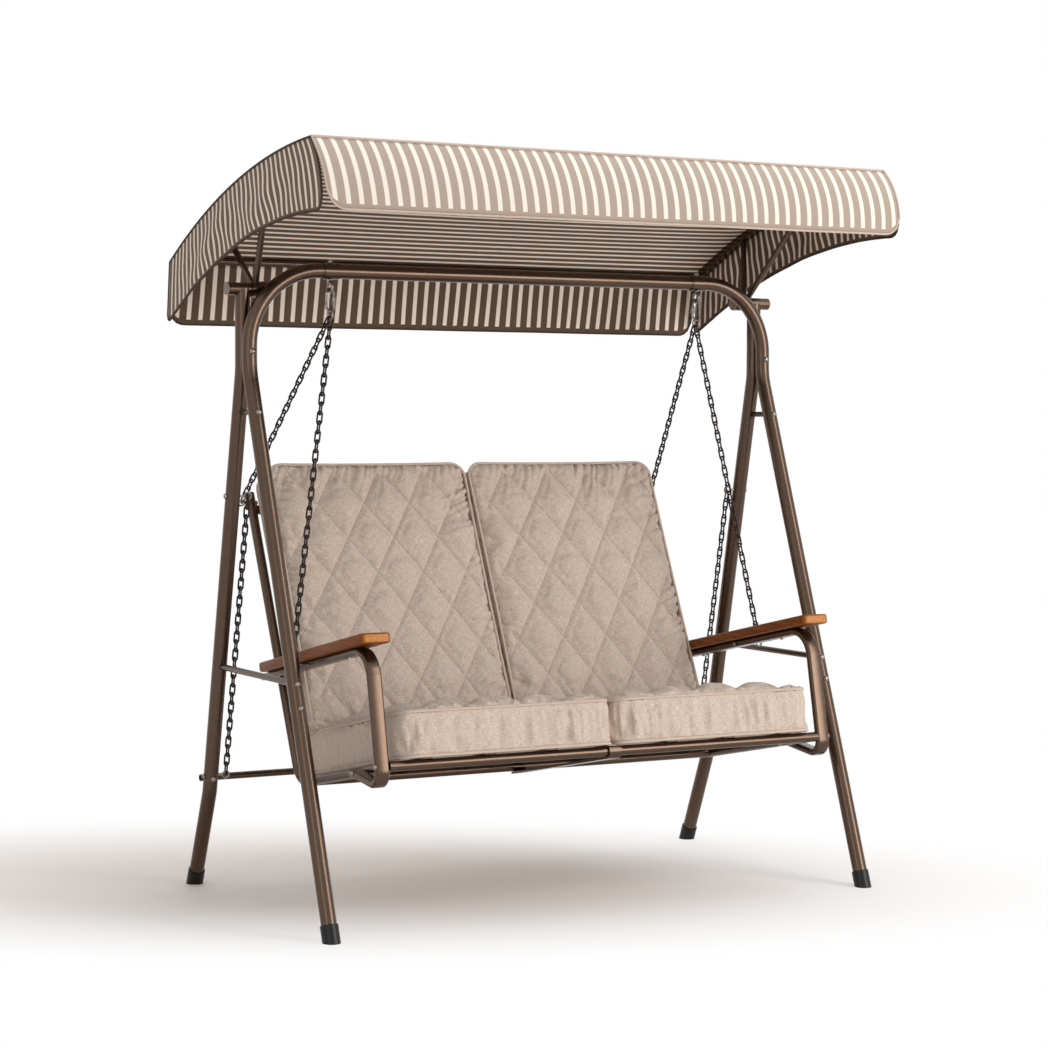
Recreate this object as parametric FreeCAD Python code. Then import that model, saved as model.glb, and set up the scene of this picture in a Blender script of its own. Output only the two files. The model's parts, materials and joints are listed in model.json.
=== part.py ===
import FreeCAD, Part
import math
import os

# A two-seat garden swing: a steel tube stand, a tilting striped canopy and a cushioned bench hung on chains.
# Millimetres and degrees. While modelling, the plane of the hoop is y = 0, the floor is z = 0 and the front is -Y.

# Stand
TUBE_D = 38.0
TUBE_WALL = 1.5
LEG_X = 770.0
BAR_Z = 1600.0
CORNER_R = 190.0
LEG_BEND_Z = 1349.0
LEG_BEND_R = 160.0
FRONT_FOOT_Y = -491.0
REAR_FOOT_Y = 369.0
KNEE_Y = 263.0
KNEE_Z = 258.0
KNEE_R = 120.0
APEX_GAP = 6.0
APEX_BOLT_Z = 1395.0
APEX_SPACER_Z = 1243.0
SPACER_D = 16.0
FOOT_CAP_D = 44.0
FOOT_CAP_L = 42.0
FOOT_SOLE = 6.0
BRACE_D = 16.0
BRACE_Z = 590.0
BRACE_PLATE_W = 24.0
BRACE_PLATE_H = 92.0
BRACE_PLATE_T = 3.0
BRACE_BOLT_DROP = 56.0
CROSS_TUBE_D = 18.0
CROSS_TUBE_WALL = 1.5
CROSS_TUBE_Z = 292.0
CROSS_TUBE_SETBACK = 26.0
COLLAR_L = 44.0
COLLAR_WALL = 2.0
HOOK_X = 550.0
BAR_JOINT_INSET = 14.0

# Fits and fasteners
SNUG = 0.1
RUNNING = 0.05
SEAT_GAP = 0.3
BOLT_D = 6.0
BOLT_HEAD_D = 13.0
BOLT_HEAD_H = 4.5
HEAD_SIDES = 6
SHANK_SIDES = 4
BORE_SIDES = 12

# Hangers and chains
EYE_R = 13.0
EYE_WIRE = 8.0
EYE_STANDOFF = 1.0
EYE_NUT_H = 7.0
EYE_NUT_D = 15.0
LINK_WIRE = 7.0
LINK_HALF_W = 11.0
LINK_LENGTH = 56.0
LINK_SLEEVE_D = 12.0
LINK_SLEEVE_L = 20.0
RING_R = 15.0
RING_WIRE = 5.0
CHAIN_WIRE = 4.0
CHAIN_PITCH = 24.0
CHAIN_W = 16.0
CHAIN_CORNER = 4.5
CHAIN_EYE_R = 9.0
CHAIN_EYE_WIRE = 5.0

# Canopy
STUB_D = 32.0
STUB_WALL = 2.0
STUB_Z = 1551.0
STUB_OUT_X = 812.0
STUB_CAP_T = 3.0
STUB_CAP_PLUG = 12.0
HUB_L = 46.0
HUB_WALL = 4.0
HUB_GAP = 2.0
RETAINER_D = 40.0
STRUT_D = 16.0
STRUT_HUB_INSET = 12.0
REAR_STRUT_Y = 140.0
FRONT_STRUT_Y = -190.0
RAIL_D = 20.0
RAIL_WALL = 1.5
RAIL_X = 798.0
RAIL_END_INSET = 16.0
CLOTH_T = 2.5
CANOPY_X = 820.0
ROOF_R = 2150.0
ROOF_FRONT_Y = -480.0
ROOF_FRONT_Z = 1882.0
ROOF_REAR_Y = 410.0
ROOF_REAR_Z = 1633.0
VALANCE_FRONT_Y = -562.0
VALANCE_FRONT_Z = 1710.0
VALANCE_FRONT_R = 217.0
VALANCE_REAR_Y = 437.0
VALANCE_REAR_DROP = 160.0
VALANCE_SIDE_DROP = 160.0
VALANCE_CORNER_R = 40.0
VALANCE_SLIT = 10.0

# Bench
SEAT_TILT = 11.5
BACK_LEAN = 12.9
SEAT_Y = 47.8
SEAT_Z = 310.0
SEAT_TUBE_D = 25.0
SEAT_TUBE_WALL = 1.5
SIDE_X = 606.0
SIDE_BEND_R = 60.0
FRONT_RAIL_Y = -540.0
REAR_RAIL_Y = -52.0
BACK_LENGTH = 800.0
BACK_TOP_RAIL = 745.0
BACK_LOW_RAIL = 105.0
SLAT_W = 32.0
SLAT_T = 3.0
SLAT_COUNT = 7
SLAT_OVERHANG = 8.0
BEARER_W = 36.0
BEARER_T = 6.0
BEARER_WRAP = 120.0
ARM_X = 637.0
ARM_TUBE_W = 36.0
ARM_TUBE_T = 18.0
ARM_TUBE_WALL = 1.5
ARM_Z = 271.0
ARM_REAR_Y = 95.0
ARM_BEND_R = 70.0
ARM_FOOT_Z = -62.0
ARM_FOOT_R = 30.0
ARM_TAIL_Y = -390.0
WOOD_W = 82.0
WOOD_T = 25.0
WOOD_FRONT_Y = -573.0
WOOD_REAR_Y = 60.0
WOOD_ROUND = 6.0
FRONT_EYE_Y = -208.0
BACK_EYE_S = 775.0
ARM_EYE_REACH = 60.0
BACK_EYE_REACH = 28.0

# Cushions
CUSHION_W = 592.0
CUSHION_GAP = 4.0
SEAT_PAD_T = 96.0
SEAT_PAD_FRONT_Y = -578.0
SEAT_PAD_REAR_Y = -6.0
BACK_PAD_T = 108.0
BACK_PAD_BOTTOM = 88.0
BACK_PAD_TOP = 838.0
PAD_CROWN = 16.0
PAD_DRAW = 7.0
PAD_END = 0.66
PAD_SHOULDER = 0.09
CHANNEL_W = 4.0
CHANNEL_DEPTH = 4.0
CHANNEL_PITCH_X = 134.0
CHANNEL_PITCH_Y = 200.0

# Parking chains on the rear legs
PARK_TOP_Z = 1030.0
PARK_LOW_Z = 300.0
PARK_STANDOFF = 22.0

X_AXIS = FreeCAD.Vector(1, 0, 0)
Z_AXIS = FreeCAD.Vector(0, 0, 1)
SIDES = {"left": -1, "right": 1}
REAR_TOP_Y = TUBE_D + APEX_GAP
# The part's origin is on the floor, midway between the canopy's front and rear edges.
HOOP_Y = -(VALANCE_FRONT_Y + VALANCE_REAR_Y + CLOTH_T) / 2
FAR = 5000.0

nodes = {}


def vec(x, y, z):
    return FreeCAD.Vector(x, y, z)


def unit(vector):
    return vector / vector.Length


def cylinder(start, end, diameter):
    line = end - start
    return Part.makeCylinder(diameter / 2, line.Length, start, line)


def polygon(start, line, across, sides):
    """A regular polygon about a start point and square to a line, measured across its corners."""
    turn = FreeCAD.Rotation(Z_AXIS, line)
    corners = []
    for step in range(sides + 1):
        angle = 2 * math.pi * step / sides
        corners.append(turn.multVec(vec(across / 2 * math.cos(angle), across / 2 * math.sin(angle), 0)) + start)
    return Part.makePolygon(corners)


def prism(start, end, across, sides):
    return Part.Face(polygon(start, end - start, across, sides)).extrude(end - start)


def head_block(start, end):
    return prism(start, end, BOLT_HEAD_D, HEAD_SIDES)


def shank_bar(start, end):
    return prism(start, end, BOLT_D, SHANK_SIDES)


def rounded_path(points, radii):
    """A wire of straight runs joined by tangent arcs, one radius for each inner point."""
    edges = []
    last = points[0]
    for index, radius in enumerate(radii):
        corner = points[index + 1]
        before = unit(points[index] - corner)
        after = unit(points[index + 2] - corner)
        half = before.getAngle(after) / 2
        reach = radius / math.tan(half)
        enter = corner + before * reach
        leave = corner + after * reach
        bisector = unit(before + after)
        middle = corner + bisector * (radius / math.sin(half) - radius)
        edges.append(Part.LineSegment(last, enter).toShape())
        edges.append(Part.Arc(enter, middle, leave).toShape())
        last = leave
    edges.append(Part.LineSegment(last, points[-1]).toShape())
    return Part.Wire(edges)


def swept(path, profile):
    return path.makePipeShell([profile], True, False)


def pipe(points, radii, diameter):
    path = rounded_path(points, radii)
    ring = Part.Wire(Part.makeCircle(diameter / 2, points[0], points[1] - points[0]))
    return swept(path, ring)


def tube(points, radii, diameter, wall):
    """A round tube whose bore, which nothing shows, has plain flat sides."""
    bore = polygon(points[0], points[1] - points[0], diameter - 2 * wall, BORE_SIDES)
    return pipe(points, radii, diameter).cut(swept(rounded_path(points, radii), bore))


def rectangle(centre, across, up):
    """A closed wire about a centre, from its half width and half height as vectors."""
    corners = [centre - across - up, centre + across - up, centre + across + up, centre - across + up]
    return Part.makePolygon(corners + corners[:1])


def above_floor(shape, height):
    room = Part.makeBox(2 * FAR, 2 * FAR, FAR, vec(-FAR, -FAR, height))
    return shape.common(room)


def front_leg_y(z):
    return FRONT_FOOT_Y * (1 - z / LEG_BEND_Z)


def rear_leg_y(z):
    return KNEE_Y + (REAR_TOP_Y - KNEE_Y) * (z - KNEE_Z) / (LEG_BEND_Z - KNEE_Z)


def front_leg_points(side):
    x = side * LEG_X
    foot = vec(x, FRONT_FOOT_Y, 0)
    bend = vec(x, 0, LEG_BEND_Z)
    corner = vec(x, 0, BAR_Z)
    end = vec(side * (HOOK_X - BAR_JOINT_INSET), 0, BAR_Z)
    below = foot - unit(bend - foot) * FOOT_CAP_L
    return [below, bend, corner, end]


def rear_leg_points(side):
    x = side * LEG_X
    foot = vec(x, REAR_FOOT_Y, 0)
    knee = vec(x, KNEE_Y, KNEE_Z)
    bend = vec(x, REAR_TOP_Y, LEG_BEND_Z)
    top = vec(x, REAR_TOP_Y, STUB_Z)
    below = foot - unit(knee - foot) * FOOT_CAP_L
    return [below, knee, bend, top]


FRONT_RADII = [LEG_BEND_R, CORNER_R]
REAR_RADII = [KNEE_R, LEG_BEND_R]
legs = {}
envelopes = {}
for name, side in SIDES.items():
    legs["front", name] = tube(front_leg_points(side), FRONT_RADII, TUBE_D, TUBE_WALL)
    legs["rear", name] = tube(rear_leg_points(side), REAR_RADII, TUBE_D, TUBE_WALL)
    envelopes["front", name] = pipe(front_leg_points(side), FRONT_RADII, TUBE_D + 2 * SNUG)
    envelopes["rear", name] = pipe(rear_leg_points(side), REAR_RADII, TUBE_D + 2 * SNUG)


def through_bolt(start, end, seats):
    """A bolt with a nut, its head and nut shaped to the tubes that they seat on."""
    way = unit(end - start)
    sink = TUBE_D / 4
    head = head_block(start + way * sink, start - way * BOLT_HEAD_H)
    nut = head_block(end - way * sink, end + way * BOLT_HEAD_H)
    for seat in seats:
        head = head.cut(seat)
        nut = nut.cut(seat)
    shank = shank_bar(start - way * BOLT_HEAD_H / 2, end + way * BOLT_HEAD_H)
    return shank.fuse([largest(head), largest(nut)])


def largest(shape):
    return max(shape.Solids, key=lambda solid: solid.Volume)


def wire_ring(centre, up, normal, radius, straight, wire):
    """An eight-sided ring of square wire, with straight sides between its round ends where it is long."""
    side = up.cross(normal)
    faces = []
    for reach in (radius + wire / 2, radius - wire / 2):
        cut = reach * math.tan(math.pi / 8)
        quarter = [(reach, cut), (cut, reach), (-cut, reach), (-reach, cut)]
        corners = [side * a + up * (b + straight / 2) for a, b in quarter]
        corners += [side * -a - up * (b + straight / 2) for a, b in quarter]
        corners = [centre - normal * wire / 2 + corner for corner in corners]
        faces.append(Part.Face(Part.makePolygon(corners + corners[:1])))
    return faces[0].cut(faces[1]).extrude(normal * wire)


def drilled(shape, start, end):
    return shape.cut(prism(start, end, BOLT_D + 2 * SNUG, SHANK_SIDES))


# Stand: bolts along Y at the apex and at the braces, with the spacers between the legs
apex_bolts = []
apex_spacers = []
brace_bolts = []
for name, side in SIDES.items():
    x = side * LEG_X
    seats = [envelopes["front", name], envelopes["rear", name]]
    front_lean = math.atan2(-FRONT_FOOT_Y, LEG_BEND_Z)
    rear_lean = math.atan2(KNEE_Y - REAR_TOP_Y, LEG_BEND_Z - KNEE_Z)
    lower_front = front_leg_y(APEX_SPACER_Z) - TUBE_D / 2 / math.cos(front_lean)
    lower_rear = rear_leg_y(APEX_SPACER_Z) + TUBE_D / 2 / math.cos(rear_lean)
    spans = [
        (APEX_BOLT_Z, -TUBE_D / 2, REAR_TOP_Y + TUBE_D / 2),
        (APEX_SPACER_Z, lower_front, lower_rear),
    ]
    for z, near, far in spans:
        start = vec(x, near, z)
        end = vec(x, far, z)
        apex_bolts.append(through_bolt(start, end, seats))
        spacer = prism(start, end, SPACER_D, HEAD_SIDES)
        for seat in seats:
            spacer = spacer.cut(seat)
        middle = [solid for solid in spacer.Solids if near < solid.CenterOfMass.y < far]
        spacer = max(middle, key=lambda solid: solid.Volume)
        apex_spacers.append(drilled(spacer, start, end))
        reach = vec(0, BOLT_HEAD_H * 2, 0)
        for row in ("front", "rear"):
            legs[row, name] = drilled(legs[row, name], start - reach, end + reach)

# Stand: side braces, each welded to a plate on the front leg and bolted through the rear leg
for name, side in SIDES.items():
    x = side * LEG_X
    slant = TUBE_D / 2 / math.cos(math.atan2(-FRONT_FOOT_Y, LEG_BEND_Z))
    rear_slant = TUBE_D / 2 / math.cos(math.atan2(KNEE_Y - REAR_TOP_Y, LEG_BEND_Z - KNEE_Z))
    plate_y = front_leg_y(BRACE_Z) + slant
    rear_y = rear_leg_y(BRACE_Z) - rear_slant
    foot_axis = unit(vec(0, -FRONT_FOOT_Y, LEG_BEND_Z))
    plate = Part.makeBox(BRACE_PLATE_W, BRACE_PLATE_T + TUBE_D / 4, BRACE_PLATE_H)
    plate.translate(vec(-BRACE_PLATE_W / 2, -TUBE_D / 4, -BRACE_PLATE_H / 2 - BRACE_BOLT_DROP / 2))
    plate.Placement = FreeCAD.Placement(
        vec(x, plate_y, BRACE_Z), FreeCAD.Rotation(Z_AXIS, foot_axis)
    ).multiply(plate.Placement)
    rod_start = vec(x, plate_y, BRACE_Z)
    rod_end = vec(x, rear_y + TUBE_D / 4, BRACE_Z)
    brace = plate.fuse(cylinder(rod_start, rod_end, BRACE_D))
    brace = brace.cut(envelopes["front", name]).cut(envelopes["rear", name])
    brace = largest(brace)
    for drop in (0, BRACE_BOLT_DROP):
        z = BRACE_Z - drop
        near = vec(x, front_leg_y(z) - slant, z)
        far = vec(x, front_leg_y(z) + slant + BRACE_PLATE_T, z)
        if drop:
            brace_bolts.append(through_bolt(near, far, [envelopes["front", name], brace]))
        else:
            stop = far + vec(0, SPACER_D - BRACE_PLATE_T, 0)
            head = head_block(near + vec(0, TUBE_D / 4, 0), near - vec(0, BOLT_HEAD_H, 0))
            head = largest(head.cut(envelopes["front", name]))
            brace_bolts.append(shank_bar(near - vec(0, BOLT_HEAD_H / 2, 0), stop).fuse(head))
        reach = vec(0, SPACER_D, 0)
        legs["front", name] = drilled(legs["front", name], near - reach, far + reach)
        brace = drilled(brace, near - reach, far + reach)
    back = vec(x, rear_leg_y(BRACE_Z) + rear_slant, BRACE_Z)
    inner = vec(x, rear_y - SPACER_D, BRACE_Z)
    head = head_block(back - vec(0, TUBE_D / 4, 0), back + vec(0, BOLT_HEAD_H, 0))
    head = largest(head.cut(envelopes["rear", name]))
    brace_bolts.append(shank_bar(back + vec(0, BOLT_HEAD_H / 2, 0), inner).fuse(head))
    legs["rear", name] = drilled(legs["rear", name], back + vec(0, SPACER_D, 0), inner)
    brace = drilled(brace, back + vec(0, SPACER_D, 0), inner)
    nodes["side_brace_" + name] = brace

# Stand: the low cross tube behind the rear legs, bolted through them
cross_y = rear_leg_y(CROSS_TUBE_Z) + CROSS_TUBE_SETBACK
cross_half = LEG_X + TUBE_D / 2
cross_ends = [vec(-cross_half, cross_y, CROSS_TUBE_Z), vec(cross_half, cross_y, CROSS_TUBE_Z)]
cross = tube(cross_ends, [], CROSS_TUBE_D, CROSS_TUBE_WALL)
cross_bolts = []
for name, side in SIDES.items():
    x = side * LEG_X
    cross = cross.cut(envelopes["rear", name])
    lean = math.atan2(KNEE_Y - REAR_TOP_Y, LEG_BEND_Z - KNEE_Z)
    near = vec(x, rear_leg_y(CROSS_TUBE_Z) - TUBE_D / 2 / math.cos(lean), CROSS_TUBE_Z)
    far = vec(x, cross_y + CROSS_TUBE_D / 2, CROSS_TUBE_Z)
    cross_space = cylinder(cross_ends[0], cross_ends[1], CROSS_TUBE_D + 2 * SNUG)
    cross_bolts.append(through_bolt(near, far, [envelopes["rear", name], cross_space]))
    reach = vec(0, SPACER_D, 0)
    legs["rear", name] = drilled(legs["rear", name], near - reach, far + reach)
    cross = drilled(cross, near - reach, far + reach)
nodes["rear_cross_tube"] = cross

# Stand: foot caps, cut flat where they rest on the floor
foot_caps = []
for points in (front_leg_points, rear_leg_points):
    for side in SIDES.values():
        below, above = points(side)[:2]
        axis = unit(above - below)
        foot = below + axis * FOOT_CAP_L
        top = foot + axis * FOOT_CAP_L
        cap = above_floor(cylinder(below, top, FOOT_CAP_D), 0)
        socket = above_floor(cylinder(below, top + axis, TUBE_D + 2 * SNUG), FOOT_SOLE)
        foot_caps.append(cap.cut(socket))
nodes["foot_caps"] = Part.makeCompound(foot_caps)

# Stand: the straight bar, the collars over its joints and the eye bolts through them
bar_end = HOOK_X - BAR_JOINT_INSET
top_bar = tube([vec(-bar_end, 0, BAR_Z), vec(bar_end, 0, BAR_Z)], [], TUBE_D, TUBE_WALL)
collar_d = TUBE_D + 2 * SNUG + 2 * COLLAR_WALL
eye_z = BAR_Z - collar_d / 2 - EYE_STANDOFF - EYE_R - EYE_WIRE / 2
pivot_z = eye_z - EYE_R + EYE_WIRE / 2 + SEAT_GAP + LINK_WIRE / 2
eye_nut_z = BAR_Z + collar_d / 2
bar_collars = []
hanger_eyes = []
for name, side in SIDES.items():
    x = side * HOOK_X
    collar = cylinder(vec(x - COLLAR_L / 2, 0, BAR_Z), vec(x + COLLAR_L / 2, 0, BAR_Z), collar_d)
    collar = collar.cut(cylinder(vec(x - COLLAR_L, 0, BAR_Z), vec(x + COLLAR_L, 0, BAR_Z), TUBE_D + 2 * SNUG))
    low = vec(x, 0, eye_z + EYE_R)
    high = vec(x, 0, eye_nut_z + EYE_NUT_H + EYE_STANDOFF)
    hole = prism(low, high, EYE_WIRE + 2 * SNUG, SHANK_SIDES)
    legs["front", name] = legs["front", name].cut(hole)
    bar_collars.append(collar.cut(hole))
    ring = wire_ring(vec(x, 0, eye_z), Z_AXIS, X_AXIS, EYE_R, 0, EYE_WIRE)
    nut = prism(vec(x, 0, eye_nut_z), vec(x, 0, eye_nut_z + EYE_NUT_H), EYE_NUT_D, HEAD_SIDES)
    hanger_eyes.append(ring.fuse([prism(low, high, EYE_WIRE, SHANK_SIDES), nut]))
nodes["top_bar"] = top_bar
nodes["bar_collars"] = Part.makeCompound(bar_collars)
nodes["hanger_eyes"] = Part.makeCompound(hanger_eyes)

# Stand: legs cut flat on their caps, and the canopy stubs welded across the rear legs
hub_out_x = LEG_X - TUBE_D / 2 - HUB_GAP
hub_in_x = hub_out_x - HUB_L
stub_in_x = hub_in_x - SEAT_GAP
stub_caps = []
hub_retainers = []
for name, side in SIDES.items():
    nodes["front_leg_" + name] = above_floor(legs["front", name], FOOT_SOLE)
    stub_start = vec(side * stub_in_x, REAR_TOP_Y, STUB_Z)
    stub_end = vec(side * STUB_OUT_X, REAR_TOP_Y, STUB_Z)
    stub_bore = cylinder(stub_start, stub_end, STUB_D - 2 * STUB_WALL)
    leg = legs["rear", name].fuse(cylinder(stub_start, stub_end, STUB_D)).cut(stub_bore)
    nodes["rear_leg_" + name] = above_floor(leg, FOOT_SOLE)
    plug_d = STUB_D - 2 * STUB_WALL - 2 * SNUG
    outward = vec(side, 0, 0)
    disc = cylinder(stub_end, stub_end + outward * STUB_CAP_T, STUB_D)
    stub_caps.append(disc.fuse(prism(stub_end - outward * STUB_CAP_PLUG, stub_end, plug_d, BORE_SIDES)))
    washer = cylinder(stub_start, stub_start - outward * STUB_CAP_T, RETAINER_D)
    hub_retainers.append(washer.fuse(prism(stub_start, stub_start + outward * STUB_CAP_PLUG, plug_d, BORE_SIDES)))
nodes["stub_caps"] = Part.makeCompound(stub_caps)
nodes["hub_retainers"] = Part.makeCompound(hub_retainers)


# Canopy: the roof's arc about its own centre, in the plane of Y and Z
def roof_centre():
    front = vec(0, ROOF_FRONT_Y, ROOF_FRONT_Z)
    rear = vec(0, ROOF_REAR_Y, ROOF_REAR_Z)
    chord = front - rear
    normal = unit(vec(0, chord.z, -chord.y))
    drop = math.sqrt(ROOF_R ** 2 - (chord.Length / 2) ** 2)
    return (front + rear) / 2 - normal * drop


ROOF_C = roof_centre()


def roof_point(y, depth):
    """The point under the roof's outer face at this y, this far below it along the radius."""
    radius = ROOF_R - depth
    return vec(0, y, ROOF_C.z + math.sqrt(radius ** 2 - (y - ROOF_C.y) ** 2))


def valance_centre():
    """The centre of the front valance's arc, which hangs plumb at its lower edge."""
    return vec(0, VALANCE_FRONT_Y + VALANCE_FRONT_R, VALANCE_FRONT_Z)


def valance_point(angle, radius):
    turn = math.radians(angle)
    return valance_centre() + vec(0, -radius * math.cos(turn), radius * math.sin(turn))


def canopy_edge(depth):
    """The roof's rear edge, middle and front edge, and the front valance's middle and lower edge."""
    arc_r = VALANCE_FRONT_R - depth
    top = roof_point(ROOF_FRONT_Y, 0) - valance_centre()
    top_angle = math.degrees(math.atan2(top.z, -top.y))
    rear = roof_point(ROOF_REAR_Y, depth)
    middle = roof_point((ROOF_REAR_Y + ROOF_FRONT_Y) / 2, depth)
    front = valance_point(top_angle, arc_r)
    front.z = roof_point(front.y, depth).z
    return [rear, middle, front, valance_point(top_angle / 2, arc_r), valance_point(0, arc_r)]


def canopy_profile(depth):
    rear, middle, front, half, low = canopy_edge(depth)
    return [Part.Arc(rear, middle, front).toShape(), Part.Arc(front, half, low).toShape()]


outer_edge = canopy_edge(0)
inner_edge = canopy_edge(CLOTH_T)
roof_wire = Part.Wire(
    canopy_profile(0)
    + [Part.LineSegment(outer_edge[-1], inner_edge[-1]).toShape()]
    + [edge for edge in reversed(canopy_profile(CLOTH_T))]
    + [Part.LineSegment(inner_edge[0], outer_edge[0]).toShape()]
)
roof = Part.Face(Part.Wire(Part.__sortEdges__(roof_wire.Edges))).extrude(vec(2 * CANOPY_X, 0, 0))
roof.translate(vec(-CANOPY_X, 0, 0))
nodes["canopy_roof"] = roof

rear_low_z = ROOF_REAR_Z - VALANCE_REAR_DROP
side_low_front = outer_edge[-1]
side_low_middle = roof_point((VALANCE_FRONT_Y + VALANCE_REAR_Y) / 2, 0) - vec(0, 0, VALANCE_SIDE_DROP)
side_low_rear = vec(0, VALANCE_REAR_Y - VALANCE_SLIT, rear_low_z)
side_edges = canopy_profile(0) + [
    Part.Arc(side_low_front, side_low_middle, side_low_rear).toShape(),
    Part.LineSegment(side_low_rear, outer_edge[0]).toShape(),
]
side_sheet = Part.Face(Part.Wire(Part.__sortEdges__(side_edges))).extrude(vec(CLOTH_T, 0, 0))
side_corner = [
    edge
    for edge in side_sheet.Edges
    if abs(edge.CenterOfMass.y - side_low_rear.y) < 1 and abs(edge.CenterOfMass.z - side_low_rear.z) < 1
]
side_sheet = side_sheet.makeFillet(VALANCE_CORNER_R / 2, side_corner)
for name, side in SIDES.items():
    sheet = side_sheet.copy()
    sheet.translate(vec(side * (CANOPY_X + SNUG) - (CLOTH_T if side < 0 else 0), 0, 0))
    nodes["canopy_side_valance_" + name] = sheet

rear_top = vec(0, ROOF_REAR_Y - CLOTH_T, roof_point(ROOF_REAR_Y, CLOTH_T * 1.2).z - SEAT_GAP)
rear_half = CANOPY_X - VALANCE_SLIT
rear_length = vec(0, VALANCE_REAR_Y, rear_low_z) - rear_top
rear_valance = Part.makeBox(2 * rear_half, CLOTH_T, rear_length.Length, vec(-rear_half, 0, -rear_length.Length))
rear_corners = [
    edge
    for edge in rear_valance.Edges
    if edge.CenterOfMass.z < 1 - rear_length.Length and abs(edge.tangentAt(edge.FirstParameter).y) > 0.9
]
rear_valance = rear_valance.makeFillet(VALANCE_CORNER_R, rear_corners)
rear_valance.Placement = FreeCAD.Placement(rear_top, FreeCAD.Rotation(-Z_AXIS, rear_length))
nodes["canopy_rear_valance"] = rear_valance

# Canopy: curved side rails under the roof's edges, straight rails front and rear
rail_depth = CLOTH_T + SEAT_GAP + RAIL_D / 2
rail_front_y = ROOF_FRONT_Y + RAIL_END_INSET
rail_rear_y = ROOF_REAR_Y - RAIL_END_INSET


def side_rail(side, width):
    """A square bar bent to the roof's arc."""
    points = [roof_point(y, rail_depth) + vec(side * RAIL_X, 0, 0) for y in (rail_rear_y, 0, rail_front_y)]
    path = Part.Wire(Part.Arc(*points).toShape())
    radial = unit(vec(0, points[0].y - ROOF_C.y, points[0].z - ROOF_C.z))
    return swept(path, rectangle(points[0], X_AXIS * width / 2, radial * width / 2))


cross_rails = {"canopy_front_rail": rail_front_y + RAIL_D, "canopy_rear_rail": rail_rear_y - RAIL_D}
rail_bolts = []
side_rails = {}
for name, side in SIDES.items():
    side_rails[name] = side_rail(side, RAIL_D).cut(side_rail(side, RAIL_D - 2 * RAIL_WALL))
for rail_name, y in cross_rails.items():
    place = roof_point(y, rail_depth)
    reach = vec(RAIL_X - RAIL_D / 2 - SNUG, 0, 0)
    ends = [place - reach, place + reach]
    rail = tube(ends, [], RAIL_D, RAIL_WALL)
    for name, side in SIDES.items():
        way = vec(side, 0, 0)
        outside = place + way * (RAIL_X + RAIL_D / 2)
        plug_start = place + way * (RAIL_X - RAIL_D / 2 - SNUG)
        plug_end = plug_start - way * RAIL_D
        inside = plug_end - way * RAIL_D / 4
        rail = rail.fuse(prism(plug_end, plug_start, RAIL_D - 2 * RAIL_WALL, BORE_SIDES))
        rail = drilled(rail, outside, inside)
        side_rails[name] = drilled(side_rails[name], outside + way * RAIL_D, inside)
        head = head_block(outside + way * SNUG, outside + way * BOLT_HEAD_H / 2)
        rail_bolts.append(shank_bar(outside + way * BOLT_HEAD_H / 4, inside).fuse(head))
    nodes[rail_name] = rail

# Canopy: hubs that turn on the stubs, each with two struts welded to it and bolted to the side rail
strut_bolts = []
for name, side in SIDES.items():
    hub_start = vec(side * hub_in_x, REAR_TOP_Y, STUB_Z)
    hub_end = vec(side * hub_out_x, REAR_TOP_Y, STUB_Z)
    stub_end = vec(side * STUB_OUT_X, REAR_TOP_Y, STUB_Z)
    hub_bore = cylinder(hub_start, stub_end, STUB_D + 2 * RUNNING)
    bracket = cylinder(hub_start, hub_end, STUB_D + 2 * RUNNING + 2 * HUB_WALL)
    root = vec(side * (hub_out_x - STRUT_HUB_INSET), REAR_TOP_Y, STUB_Z)
    studs = []
    for y in (FRONT_STRUT_Y, REAR_STRUT_Y):
        tip = roof_point(y, rail_depth) + vec(side * RAIL_X, 0, 0)
        bracket = bracket.fuse(cylinder(root, tip, STRUT_D))
        under = tip - unit(tip - root) * RAIL_D * 1.5
        studs.append((under, tip))
        strut_bolts.append(shank_bar(under, tip))
    rail_space = side_rail(side, RAIL_D + 2 * SNUG)
    bracket = largest(bracket.cut([hub_bore, rail_space]))
    for under, tip in studs:
        bracket = drilled(bracket, under, tip)
        side_rails[name] = drilled(side_rails[name], under, tip)
    nodes["canopy_bracket_" + name] = bracket
    nodes["canopy_side_rail_" + name] = side_rails[name]


# Bench: modelled level, with the seat plane at z = 0, then tilted and hung in place
def bench_place():
    return FreeCAD.Placement(vec(0, SEAT_Y, SEAT_Z), FreeCAD.Rotation(X_AXIS, -SEAT_TILT))


def back_place():
    return FreeCAD.Placement(vec(0, 0, 0), FreeCAD.Rotation(X_AXIS, -BACK_LEAN))


def on_back(shape):
    moved = shape.copy()
    moved.Placement = back_place().multiply(moved.Placement)
    return moved


bench = {}
tube_r = SEAT_TUBE_D / 2
lean = math.radians(BACK_LEAN)
corner_y = tube_r * (1 - math.sin(lean)) / math.cos(lean)
back_up = vec(0, math.sin(lean), math.cos(lean))
front_rail = vec(0, FRONT_RAIL_Y, -tube_r)
arm_inner = ARM_X - ARM_TUBE_W / 2
side_frames = {}
arm_frames = {}


def side_frame_points(side):
    x = side * SIDE_X
    front = vec(x, FRONT_RAIL_Y + tube_r + SNUG, -tube_r)
    corner = vec(x, corner_y, -tube_r)
    top = corner + back_up * BACK_LENGTH
    return [front, corner, top]


def arm_path_points(side):
    x = side * ARM_X
    return [
        vec(x, ARM_REAR_Y, ARM_Z),
        vec(x, FRONT_RAIL_Y, ARM_Z),
        vec(x, FRONT_RAIL_Y, ARM_FOOT_Z),
        vec(x, ARM_TAIL_Y, -tube_r),
    ]


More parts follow.
